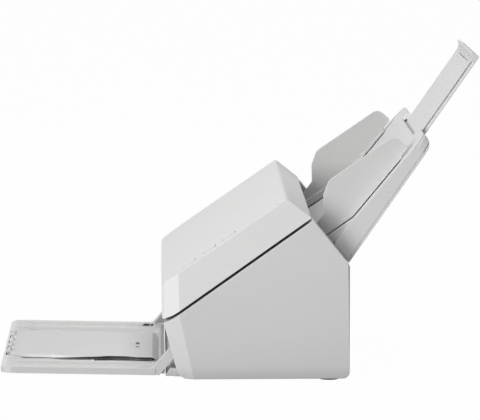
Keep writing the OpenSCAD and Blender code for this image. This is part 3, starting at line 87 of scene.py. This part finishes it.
# one material while it is being wired
class Finish:
    def __init__(self, name):
        self.material = bpy.data.materials.new(name)
        self.material.use_nodes = True
        self.tree = self.material.node_tree
        self.tree.nodes.clear()
        self.place = self.wire("ShaderNodeTexCoord", {}, {}, "Object")

    def node(self, kind, settings, sockets):
        made = self.tree.nodes.new(kind)
        for key, value in settings.items():
            if key == "stops":
                self.setStops(made.color_ramp, value)
            else:
                setattr(made, key, value)
        for key, value in sockets.items():
            if isinstance(value, Wire):
                self.tree.links.new(value.socket, made.inputs[key])
            else:
                made.inputs[key].default_value = value
        return made

    def wire(self, kind, settings, sockets, output=0):
        return Wire(self, self.node(kind, settings, sockets).outputs[output])

    def setStops(self, ramp, stops):
        while len(ramp.elements) < len(stops):
            ramp.elements.new(1)
        for element, (position, level) in zip(ramp.elements, stops):
            element.position = position
            element.color = (level, level, level, 1)

    def noise(self, size, detail=3, roughness=0.5):
        return self.wire("ShaderNodeTexNoise", {}, {
            "Vector": self.place, "Scale": 1 / size, "Detail": detail, "Roughness": roughness})

    def ramp(self, value, stops):
        return self.wire("ShaderNodeValToRGB", {"stops": stops}, {"Fac": value})

    def mix(self, factor, first, second):
        return self.wire("ShaderNodeMix", {"data_type": "RGBA"},
                         {0: factor, 6: first, 7: second}, 2)

    # how far a point is from lying on a flat face, read from the rounded normal
    def edges(self, radius):
        rounded = self.wire("ShaderNodeBevel", {"samples": 4}, {"Radius": radius})
        flat = self.wire("ShaderNodeNewGeometry", {}, {}, "Normal")
        along = self.wire("ShaderNodeVectorMath", {"operation": "DOT_PRODUCT"},
                          {0: rounded, 1: flat}, "Value")
        return 1 - along

    # bump over a normal that is rounded along the edges, then the shader
    def close(self, sockets, height=None, strength=0.1, depth=0.00005, soft=0.0004):
        if height is not None:
            rounded = self.wire("ShaderNodeBevel", {"samples": 6}, {"Radius": soft})
            sockets["Normal"] = self.wire("ShaderNodeBump", {}, {
                "Height": height, "Strength": strength, "Distance": depth, "Normal": rounded})
        shader = self.node("ShaderNodeBsdfPrincipled", {}, sockets)
        output = self.node("ShaderNodeOutputMaterial", {}, {})
        self.tree.links.new(shader.outputs[0], output.inputs[0])
        return self.material


# a grey as it looks on screen, turned into the light level that Blender works in
def grey(level, warm=0.0):
    def linear(c):
        return c / 12.92 if c <= 0.04045 else ((c + 0.055) / 1.055) ** 2.4
    return (linear(level + warm), linear(level), linear(level - warm), 1)


# what all moulded plastics share, with sizes in metres and levels as on screen
moulding = {"flow": 0.045, "flowRange": [(0.35, 0), (0.65, 1)], "rounding": 0.0011,
            "patches": 0.004, "wearHighlightLeast": 0.7, "wearHighlightMore": 0.6, "paleWearAndHighlight": 0.13, "palest": 0.97,
            "uprightShadeRange": (0.2, 0.8), "uprightShadeLevel": 0.5, "footShadeHeight": 0.1,
            "glossGrain": 0.06, "glossRub": 0.08, "glossFlow": 0.05, "coarse": 4,
            "coarseShare": 0.3, "depth": 0.00004, "refraction": 1.5}


# matt moulded plastic: spark-eroded grain, slow flow marks, edges worn a little lighter with a
# painted highlight along them
def mouldedPlastic(name, values):
    m = moulding
    finish = Finish(name)
    grain = finish.noise(values["grain"], detail=2, roughness=0.6)
    flow = finish.noise(m["flow"], detail=3, roughness=0.55)
    # worn edges with a painted highlight: edges made lighter in patches
    edge = finish.edges(m["rounding"])
    patches = m["wearHighlightLeast"] + m["wearHighlightMore"] * finish.noise(m["patches"], detail=3, roughness=0.6)
    wornAndHighlit = finish.ramp(edge * patches * values["edgeWearAndHighlight"], [(0, 0), (1, 1)])
    body = grey(values["level"], values["warm"])
    darker = grey(values["level"] - values["drift"], values["warm"])
    paleWearAndHighlight = grey(min(values["level"] + m["paleWearAndHighlight"], m["palest"]), values["warm"])
    tone = finish.mix(finish.ramp(flow, m["flowRange"]), darker, body)
    tone = finish.mix(wornAndHighlit, tone, paleWearAndHighlight)
    # painted shade: darker on vertical faces
    if "uprightShade" in values:
        facing = finish.wire("ShaderNodeTexCoord", {}, {}, "Normal")
        rise = finish.wire("ShaderNodeSeparateXYZ", {}, {0: facing}, 2)
        uprightShade, level = m["uprightShadeRange"]
        share = finish.ramp(rise, [(uprightShade, values["uprightShade"]), (level, 0)])
        tone = finish.mix(share, tone, grey(m["uprightShadeLevel"]))
    # painted shade: darker towards the foot of a wall
    if "foot" in values:
        height = finish.wire("ShaderNodeSeparateXYZ", {}, {0: finish.place}, 2)
        tone = finish.mix(finish.ramp(height / m["footShadeHeight"], values["foot"]),
                          grey(values["footShadeLevel"]), tone)
    gloss = (values["gloss"] + m["glossGrain"] * grain - m["glossRub"] * wornAndHighlit
             + m["glossFlow"] * (flow - 0.5))
    relief = grain + m["coarseShare"] * finish.noise(values["grain"] * m["coarse"], detail=2)
    return finish.close({"Base Color": tone, "Roughness": gloss, "IOR": m["refraction"]},
                        relief, values["bump"], m["depth"], values["soft"])


# rubber: dusty patches over a fine grain
rubberSurface = {"bloom": 0.003, "bloomRange": [(0.4, 0), (0.75, 1)], "grain": 0.0003,
                 "gloss": 0.72, "glossBloom": 0.14, "bump": 0.35, "depth": 0.00005,
                 "refraction": 1.52}


def rubberFinish(name, values):
    r = rubberSurface
    finish = Finish(name)
    bloom = finish.noise(r["bloom"], detail=4, roughness=0.6)
    fine = finish.noise(r["grain"], detail=2, roughness=0.6)
    tone = finish.mix(finish.ramp(bloom, r["bloomRange"]), grey(values["level"]),
                      grey(values["dusty"]))
    return finish.close({"Base Color": tone, "Roughness": r["gloss"] + r["glossBloom"] * bloom,
                         "IOR": r["refraction"]}, fine, r["bump"], r["depth"])


# ground steel: fine turning lines along the shaft
steelSurface = {"lines": 4000, "smear": 0.006, "darker": 0.06, "glossLines": 0.15,
                "bump": 0.15, "depth": 0.00002}


def steelFinish(name, values):
    s = steelSurface
    finish = Finish(name)
    stretched = finish.wire("ShaderNodeVectorMath", {"operation": "MULTIPLY"}, {
        0: finish.place, 1: values["stretch"]})
    lines = finish.wire("ShaderNodeTexNoise", {}, {
        "Vector": stretched, "Scale": s["lines"], "Detail": 2, "Roughness": 0.6})
    smear = finish.noise(s["smear"], detail=3, roughness=0.6)
    tone = finish.mix(smear, grey(values["level"] - s["darker"]), grey(values["level"]))
    return finish.close({"Base Color": tone, "Metallic": 1.0,
                         "Roughness": values["gloss"] + s["glossLines"] * lines},
                        lines, s["bump"], s["depth"])


# glass with faint smudges
def glassFinish(name, values):
    finish = Finish(name)
    smudge = finish.noise(values["smudge"], detail=4, roughness=0.6)
    return finish.close({"Base Color": values["tint"],
                         "Roughness": values["gloss"] + values["glossSmudge"] * smudge,
                         "IOR": values["refraction"], "Transmission Weight": values["clear"]})


# circuit board: tracks as a fine weave under the mask
def boardFinish(name, values):
    finish = Finish(name)
    weave = finish.wire("ShaderNodeTexBrick", {"offset": 0.0}, {
        "Vector": finish.place, "Scale": 1 / values["pitch"], "Mortar Size": values["gap"],
        "Color1": (1, 1, 1, 1), "Color2": (0.7, 0.7, 0.7, 1), "Mortar": (0, 0, 0, 1)}, "Fac")
    tone = finish.mix(weave, values["mask"], values["track"])
    gloss = values["gloss"] + values["glossMore"] * finish.noise(values["patches"])
    return finish.close({"Base Color": tone, "Roughness": gloss}, weave, values["bump"],
                        values["depth"])


# hazy lens of the status light
def lensFinish(name, values):
    finish = Finish(name)
    haze = finish.noise(values["haze"], detail=3)
    tone = finish.mix(haze, values["rim"], values["lens"])
    return finish.close({"Base Color": tone,
                         "Roughness": values["gloss"] + values["glossHaze"] * haze,
                         "IOR": values["refraction"], "Emission Color": values["lens"],
                         "Emission Strength": values["glow"]})


# level and warmth of the colour, drift of the flow marks, size of the grain, gloss, height of the
# grain, how worn the edges are with their painted highlight, and how round they look
casePlastic = {"level": 0.838, "warm": 0.001, "drift": 0.006, "grain": 0.00045, "gloss": 0.5,
               # painted shade towards the foot of the case walls: foot stops and their level
               "bump": 0.22, "edgeWearAndHighlight": 3.6, "soft": 0.0008, "footShadeLevel": 0.7,
               "foot": [(0.0, 0.0), (0.05, 0.25), (0.1, 0.62), (0.35, 0.82), (0.9, 1.0)]}
coverPlastic = {"level": 0.882, "warm": 0.002, "drift": 0.006, "grain": 0.00045, "gloss": 0.5,
                "bump": 0.22, "edgeWearAndHighlight": 2, "soft": 0.0007}
chutePlastic = {"level": 0.842, "warm": 0.002, "drift": 0.006, "grain": 0.0004, "gloss": 0.48,
                "bump": 0.2, "edgeWearAndHighlight": 2, "soft": 0.0006}
guidePlastic = {"level": 0.82, "warm": 0.002, "drift": 0.006, "grain": 0.0004, "gloss": 0.48,
                "bump": 0.2, "edgeWearAndHighlight": 4, "soft": 0.0004}
# painted shade: a darker copy of the guide plastic, for the left guide
paintedShadeGuidePlastic = {"level": 0.74, "warm": 0.002, "drift": 0.006, "grain": 0.0004,
                     "gloss": 0.48, "bump": 0.2, "edgeWearAndHighlight": 3, "soft": 0.0004}
# the tray is given painted shade on its vertical faces
trayPlastic = {"level": 0.9, "warm": 0.003, "drift": 0.008, "grain": 0.0004, "gloss": 0.46,
               "bump": 0.2, "edgeWearAndHighlight": 3, "soft": 0.0004, "uprightShade": 0.36}
flapPlastic = {"level": 0.885, "warm": 0.0, "drift": 0.008, "grain": 0.0004, "gloss": 0.45,
               "bump": 0.2, "edgeWearAndHighlight": 1.8, "soft": 0.0004}
keyPlastic = {"level": 0.86, "warm": 0.001, "drift": 0.004, "grain": 0.0003, "gloss": 0.42,
              "bump": 0.15, "edgeWearAndHighlight": 0.6, "soft": 0.0003}
pathPlastic = {"level": 0.66, "warm": 0.002, "drift": 0.02, "grain": 0.0005, "gloss": 0.38,
               "bump": 0.15, "edgeWearAndHighlight": 0.4, "soft": 0.0004}
blackPlastic = {"level": 0.11, "warm": 0.0, "drift": 0.02, "grain": 0.0004, "gloss": 0.4,
                "bump": 0.2, "edgeWearAndHighlight": 0.3, "soft": 0.0003}
acetal = {"level": 0.88, "warm": 0.012, "drift": 0.02, "grain": 0.0004, "gloss": 0.36,
          "bump": 0.1, "edgeWearAndHighlight": 0.3, "soft": 0.0003}
sensorGlass = {"tint": (0.8, 0.9, 0.9, 1), "clear": 0.85, "smudge": 0.02, "gloss": 0.03,
               "glossSmudge": 0.06, "refraction": 1.52}
circuitBoard = {"mask": (0.01, 0.09, 0.035, 1), "track": (0.03, 0.17, 0.07, 1),
                "pitch": 0.0042, "gap": 0.06, "patches": 0.002, "gloss": 0.34,
                "glossMore": 0.1, "bump": 0.2, "depth": 0.00003}
lightLens = {"rim": (0.5, 0.56, 0.62, 1), "lens": (0.72, 0.82, 0.9, 1), "haze": 0.002,
             "gloss": 0.16, "glossHaze": 0.1, "refraction": 1.49, "glow": 0.05}

finishes = {
    "case": mouldedPlastic("casePlastic", casePlastic),
    "cover": mouldedPlastic("coverPlastic", coverPlastic),
    "chute": mouldedPlastic("chutePlastic", chutePlastic),
    "guide": mouldedPlastic("guidePlastic", guidePlastic),
    # painted shade: darker copy of the guide plastic for the left guide
    "paintedShadeGuide": mouldedPlastic("paintedShadeGuidePlastic", paintedShadeGuidePlastic),
    # painted shade: darker copy of the guide plastic for the arm pocket panels
    "recess": mouldedPlastic("recessPlastic", {**guidePlastic, "level": 0.56}),
    "chuteCorner": mouldedPlastic("chuteCornerPlastic",
                                  {**chutePlastic, "soft": 0.0001, "edgeWearAndHighlight": 0.0}),
    "tray": mouldedPlastic("trayPlastic", trayPlastic),
    "flap": mouldedPlastic("flapPlastic", flapPlastic),
    "key": mouldedPlastic("keyPlastic", keyPlastic),
    "path": mouldedPlastic("pathPlastic", pathPlastic),
    "black": mouldedPlastic("blackPlastic", blackPlastic),
    "acetal": mouldedPlastic("acetal", acetal),
    "rubber": rubberFinish("footRubber", {"level": 0.2, "dusty": 0.28}),
    "tyre": rubberFinish("rollerRubber", {"level": 0.3, "dusty": 0.38}),
    "belt": rubberFinish("beltRubber", {"level": 0.14, "dusty": 0.2}),
    "steel": steelFinish("shaftSteel", {"level": 0.78, "gloss": 0.22, "stretch": (1, 0.02, 0.02)}),
    "sheet": steelFinish("frameSteel", {"level": 0.74, "gloss": 0.34, "stretch": (0.02, 1, 1)}),
    "glass": glassFinish("sensorGlass", sensorGlass),
    "board": boardFinish("circuitBoard", circuitBoard),
    "lens": lensFinish("lightLens", lightLens),
}

# which finish each piece of the frame has
finishOf = {
    "case": ["lower_housing"],
    "path": ["bottom_plate", "lower_paper_guide"],
    "rubber": ["rubber_feet"],
    "cover": ["top_cover"],
    "chute": ["chute_front", "chute_back", "chute_extension"],
    "guide": ["right_guide"],
    # the left guide gets the painted-shade copy of the guide plastic
    "paintedShadeGuide": ["left_guide"],
    "tray": ["stacker_tray"],
    "flap": ["tray_flap"],
    "key": ["scan_key", "stop_key", "power_key"],
    "black": ["upper_paper_guide", "lower_sensor", "upper_sensor", "power_jack"],
    "acetal": ["shaft_bushes", "exit_pulley", "feed_pulley", "pick_pulley", "exit_idlers",
               "feed_idlers", "guide_pinion", "right_rack", "left_rack"],
    "tyre": ["exit_rollers", "feed_rollers", "pick_rollers", "separation_roller"],
    "belt": ["motor_belt", "roller_belt"],
    "steel": ["housing_screws", "exit_shaft", "feed_shaft", "pick_shaft", "cover_hinge_pins",
              "tray_pins", "flap_pins", "pinion_pin", "motor_pulley", "usb_socket",
              "drive_motor"],
    "sheet": ["side_frames"],
    "glass": ["lower_glass", "upper_glass"],
    "board": ["main_board", "key_board"],
    "lens": ["status_light"],
}


def dress(piece, finish):
    piece.data.materials.clear()
    piece.data.materials.append(finishes[finish])


for finish, names in finishOf.items():
    for name in names:
        dress(nodes[name], finish)
print("finishes on", sum(len(names) for names in finishOf.values()), "of", len(nodes), "nodes")


# pieces made here, with their sizes in millimetres
perMetre = 1000
sides = {"Right": 1, "Left": -1}


# name of the moving body that holds a piece of the frame
def bodyOf(name):
    return nodes[name]["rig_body"]


def addPiece(name, mesh, finish, body, slot):
    mesh.materials.append(finishes[finish])
    piece = bpy.data.objects.new(name, mesh)
    bpy.context.scene.collection.objects.link(piece)
    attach(piece, body)
    return piece


def meshFrom(name, build):
    mesh = bpy.data.meshes.new(name)
    build.to_mesh(mesh)
    build.free()
    return mesh


# closed plate between two outlines with the same number of points
def plateBetween(name, first, second, finish, body, slot):
    build = bmesh.new()
    near, far = ([build.verts.new([v / perMetre for v in point]) for point in outline]
                 for outline in (first, second))
    build.faces.new(near[::-1])
    build.faces.new(far)
    for i in range(len(near)):
        k = (i + 1) % len(near)
        build.faces.new((near[i], near[k], far[k], far[i]))
    bmesh.ops.recalc_face_normals(build, faces=build.faces)
    addPiece(name, meshFrom(name, build), finish, body, slot)


# plate whose lower and upper heights, low and high, depend on the depth y
def slabOf(name, outline, low, high, finish, body, slot):
    plateBetween(name, [(x, y, low(y)) for x, y in outline],
                 [(x, y, high(y)) for x, y in outline], finish, body, slot)


# back of the chute: foot and tilt in a side view, half its width, its length and its roundings
chuteBack = {"foot": (134.9, 81.2), "tilt": 55.1, "half": 128.0, "length": 108.09,
             "round": 14.0, "endRound": 8.0}
machine = {"back": 58.2229, "up": 1.4}


# point of the frame from measures across the chute, along its back and off it
def onChute(x, along, off):
    tilt = math.radians(chuteBack["tilt"])
    y = chuteBack["foot"][0] + along * math.cos(tilt) - off * math.sin(tilt)
    z = chuteBack["foot"][1] + along * math.sin(tilt) + off * math.cos(tilt)
    return (x / perMetre, (y - machine["back"]) / perMetre, (z + machine["up"]) / perMetre)


# curved wall over each rounded upper corner of the chute
cornerWall = {"proud": 0.05, "thick": 1.1, "from": 14, "to": 76, "steps": 20, "low": 1.85,
              "high": 7.5, "rows": 8}


def makeCornerWall(word):
    c = cornerWall
    side = sides[word]
    reach = chuteBack["round"] + c["proud"]
    build = bmesh.new()
    rows = []
    for i in range(c["rows"] + 1):
        off = c["low"] + (c["high"] - c["low"]) * i / c["rows"]
        drop = max(0, chuteBack["endRound"] - off)
        limit = (chuteBack["length"] - chuteBack["endRound"]
                 + math.sqrt(chuteBack["endRound"] ** 2 - drop ** 2))
        row = []
        for k in range(c["steps"] + 1):
            angle = math.radians(c["from"] + (c["to"] - c["from"]) * k / c["steps"])
            x = chuteBack["half"] - chuteBack["round"] + reach * math.cos(angle)
            along = chuteBack["length"] - chuteBack["round"] + reach * math.sin(angle)
            row.append(build.verts.new(onChute(side * x, min(along, limit + c["proud"]), off)))
        rows.append(row)
    for low, high in zip(rows, rows[1:]):
        for k in range(c["steps"]):
            corners = [low[k], low[k + 1], high[k + 1], high[k]]
            build.faces.new(corners if side > 0 else corners[::-1])
    mesh = meshFrom("cornerWall", build)
    mesh.shade_smooth()
    piece = addPiece("cornerWall" + word, mesh, "chuteCorner", bodyOf("chute_front"), "shell_light")
    thicken = piece.modifiers.new("wall", "SOLIDIFY")
    thicken.thickness = c["thick"] / perMetre
    thicken.offset = -1


for word in sides:
    makeCornerWall(word)
print("corner walls on the chute")

# top of tray and flap at rest; the flap falls away at its rear end
flapTop = {"y": -66.0, "z": 5.96, "rise": -0.0192, "slope": 0.45}


def trayLine(y):
    return flapTop["z"] + flapTop["rise"] * (y - flapTop["y"])


def flapHeight(y):
    return trayLine(y) - flapTop["slope"] * max(0, y - flapTop["y"]) ** 0.5


# painted shade: black strips in the gap along the waved edge of the flap, the edge given as y and x
paintedGapShade = {"edge": [(-62.3, 62.0), (-63.8, 63.9), (-66.0, 65), (-75.5, 65), (-78.1, 64.3),
                 (-83.4, 61.4), (-95.8, 61), (-98.2, 61.6), (-103.6, 64.4), (-106.1, 65),
                 (-112.0, 65), (-130.5, 65), (-132.9, 64.45), (-138.0, 61.9)],
        "clear": 0.05, "thick": 0.5, "low": 2.0, "high": 0.35, "taper": 0.055, "from": -108.0}


# black strips of painted shade along the flap's edge
def makePaintedGapShade():
    near = [(x + paintedGapShade["clear"] + paintedGapShade["thick"], y) for y, x in paintedGapShade["edge"]]
    far = [(x + paintedGapShade["clear"], y) for y, x in paintedGapShade["edge"]]

    def low(y):
        return flapHeight(y) - paintedGapShade["low"]

    def high(y):
        return flapHeight(y) - paintedGapShade["high"] - paintedGapShade["taper"] * max(0, paintedGapShade["from"] - y)

    for i in range(len(near) - 1):
        slabOf("flapGapShade%d" % (i + 1), [far[i], far[i + 1], near[i + 1], near[i]], low, high,
               "black", bodyOf("tray_flap"), "black_plastic")


makePaintedGapShade()

# painted shade: black pads in the two grip openings and beside them
gripShadePads = {"gripSlot": {"x": (7.1, 13.9), "y": (-77.9, -75.1), "sink": (1.2, 0.35)},
            "gripMark": {"x": (15.6, 16.4), "y": (-91.0, -87.5), "sink": (0.49, 0.3)}}


def rectangle(x0, y0, x1, y1):
    return [(x0, y0), (x1, y0), (x1, y1), (x0, y1)]


def makeGripShadePads(name, values):
    (x0, x1), (y0, y1), (low, high) = values["x"], values["y"], values["sink"]
    for word, side in sides.items():
        slabOf(name + word, rectangle(side * x0, y0, side * x1, y1),
               lambda y: flapHeight(y) - low, lambda y: flapHeight(y) - high,
               "black", bodyOf("tray_flap"), "black_plastic")


for name, values in gripShadePads.items():
    makeGripShadePads(name, values)

# thin floor of the finger opening
openingFloor = {"x": (52.2, 85.6), "y": (-108.8, -63.6), "low": 4.3, "high": 3.7}


def makeOpeningFloor():
    (x0, x1), (y0, y1) = openingFloor["x"], openingFloor["y"]
    slabOf("openingFloor", rectangle(x0, y0, x1, y1),
           lambda y: trayLine(y) - openingFloor["low"],
           lambda y: trayLine(y) - openingFloor["high"],
           "tray", bodyOf("stacker_tray"), "shell_light")


makeOpeningFloor()

# lip behind the tray, under the front of the base
apron = {"half": 124.0, "front": -58.6, "rear": -56.2, "low": 2.2, "high": 4.6}
slabOf("trayApron", rectangle(-apron["half"], apron["front"], apron["half"], apron["rear"]),
       lambda y: apron["low"], lambda y: apron["high"],
       "flap", bodyOf("stacker_tray"), "shell_light")

# painted shade: thin dark panels on vertical walls of the tray, in its slot and arm pocket,
# outlines given as y and z
wallPanels = {
    "slotWallFront": {"x": 117.95, "deep": 0.12, "finish": "black", "slot": "black_plastic",
                      "outline": [(-73.4, 4.5), (-71.8, 6.0), (-66.9, 5.95), (-68.0, 4.4)]},
    "slotWallRear": {"x": 117.95, "deep": 0.12, "finish": "black", "slot": "black_plastic",
                     "outline": [(-67.2, 4.4), (-66.0, 5.9), (-64.9, 5.9), (-64.9, 4.4)]},
    # painted shade in the arm pocket: a darker panel
    "armRecess": {"x": 119.85, "deep": 0.12, "finish": "recess", "slot": "shell_light",
                  "outline": [(-63.4, 6.4), (-63.4, 7.1), (-52.0, 20.0), (-52.0, 12.0),
                              (-57.0, 6.4)]},
}


def makeWallPanel(name, values):
    for word, side in sides.items():
        inner, outer = ([(side * (values["x"] + deep), y, z) for y, z in values["outline"]]
                        for deep in (-values["deep"], values["deep"]))
        plateBetween(name + word, inner, outer, values["finish"], bodyOf("stacker_tray"),
                     values["slot"])


for name, values in wallPanels.items():
    makeWallPanel(name, values)
print("seal, pads, lip and panels on the tray")


# turn of a camera or lamp that looks from one place at another
def lookAt(place, target):
    return (Vector(target) - Vector(place)).to_track_quat("-Z", "Y").to_euler()


# camera: long lens, almost square to the right side, a little above
view = {"place": (3.1458, -0.06225, 0.4478), "target": (0.0, 0.00088, 0.1082), "lens": 315,
        "sensor": 36, "far": 60}
camera = bpy.data.objects.new("camera", bpy.data.cameras.new("camera"))
bpy.context.scene.collection.objects.link(camera)
camera.location = view["place"]
camera.rotation_euler = lookAt(view["place"], view["target"])
camera.data.lens = view["lens"]
camera.data.sensor_width = view["sensor"]
camera.data.clip_end = view["far"]
bpy.context.scene.camera = camera

# soft boxes at the front right, above and at the side
lamps = {
    "frontBox": {"place": (4.0, -3.6, 0.9), "size": 2.8, "watts": 262},
    "topBox": {"place": (0.0, 0.2, 2.2), "size": 1.6, "watts": 24},
    "sideBox": {"place": (2.4, -0.9, 1.3), "size": 1.6, "watts": 11},
}
lampTarget = (0, 0, 0.1)
for name, values in lamps.items():
    light = bpy.data.lights.new(name, "AREA")
    light.size = values["size"]
    light.energy = values["watts"]
    lamp = bpy.data.objects.new(name, light)
    bpy.context.scene.collection.objects.link(lamp)
    lamp.location = values["place"]
    lamp.rotation_euler = lookAt(values["place"], lampTarget)

# room: light of the sky, and reach, drop, tone and glow of the floor
room = {"sky": 0.06, "reach": 20, "drop": 0.0002, "floor": 0.5, "glow": 0.985}
world = bpy.data.worlds.new("room")
bpy.context.scene.world = world
world.use_nodes = True
world.node_tree.nodes.clear()


# white to the camera and in gloss, softer as light
def seenOrMirrored(finish):
    seen = finish.node("ShaderNodeLightPath", {}, {})
    direct, glossy, through = (Wire(finish, seen.outputs[ray]) for ray in (
        "Is Camera Ray", "Is Glossy Ray", "Is Transmission Ray"))
    return finish.ramp(direct + glossy + through, [(0, 0), (1, 1)])


# the same wiring for the tree of the world
class RoomFinish(Finish):
    def __init__(self, tree):
        self.tree = tree


roomFinish = RoomFinish(world.node_tree)
shade = roomFinish.mix(seenOrMirrored(roomFinish), (room["sky"], room["sky"], room["sky"], 1),
                       (1, 1, 1, 1))
background = roomFinish.node("ShaderNodeBackground", {}, {"Color": shade, "Strength": 1.0})
worldOutput = roomFinish.node("ShaderNodeOutputWorld", {}, {})
roomFinish.tree.links.new(background.outputs[0], worldOutput.inputs[0])

# pale floor: a card that glows where it is seen or mirrored
floorMesh = bpy.data.meshes.new("floor")
floorMesh.from_pydata([(x, y, -room["drop"]) for x, y in rectangle(
    -room["reach"], -room["reach"], room["reach"], room["reach"])], [], [(0, 1, 2, 3)])
floor = bpy.data.objects.new("floor", floorMesh)
bpy.context.scene.collection.objects.link(floor)
floorFinish = Finish("floorPaper")
card = floorFinish.node("ShaderNodeBsdfDiffuse", {}, {
    "Color": (room["floor"], room["floor"], room["floor"], 1)})
glow = floorFinish.node("ShaderNodeEmission", {}, {"Color": (1, 1, 1, 1), "Strength": 1.0})
seenShare = seenOrMirrored(floorFinish) * room["glow"]
blended = floorFinish.node("ShaderNodeMixShader", {}, {0: seenShare})
floorFinish.tree.links.new(card.outputs[0], blended.inputs[1])
floorFinish.tree.links.new(glow.outputs[0], blended.inputs[2])
floorOutput = floorFinish.node("ShaderNodeOutputMaterial", {}, {})
floorFinish.tree.links.new(blended.outputs[0], floorOutput.inputs[0])
floorMesh.materials.append(floorFinish.material)
bpy.context.scene.view_settings.view_transform = "Standard"
print("camera, lamps and floor stand")
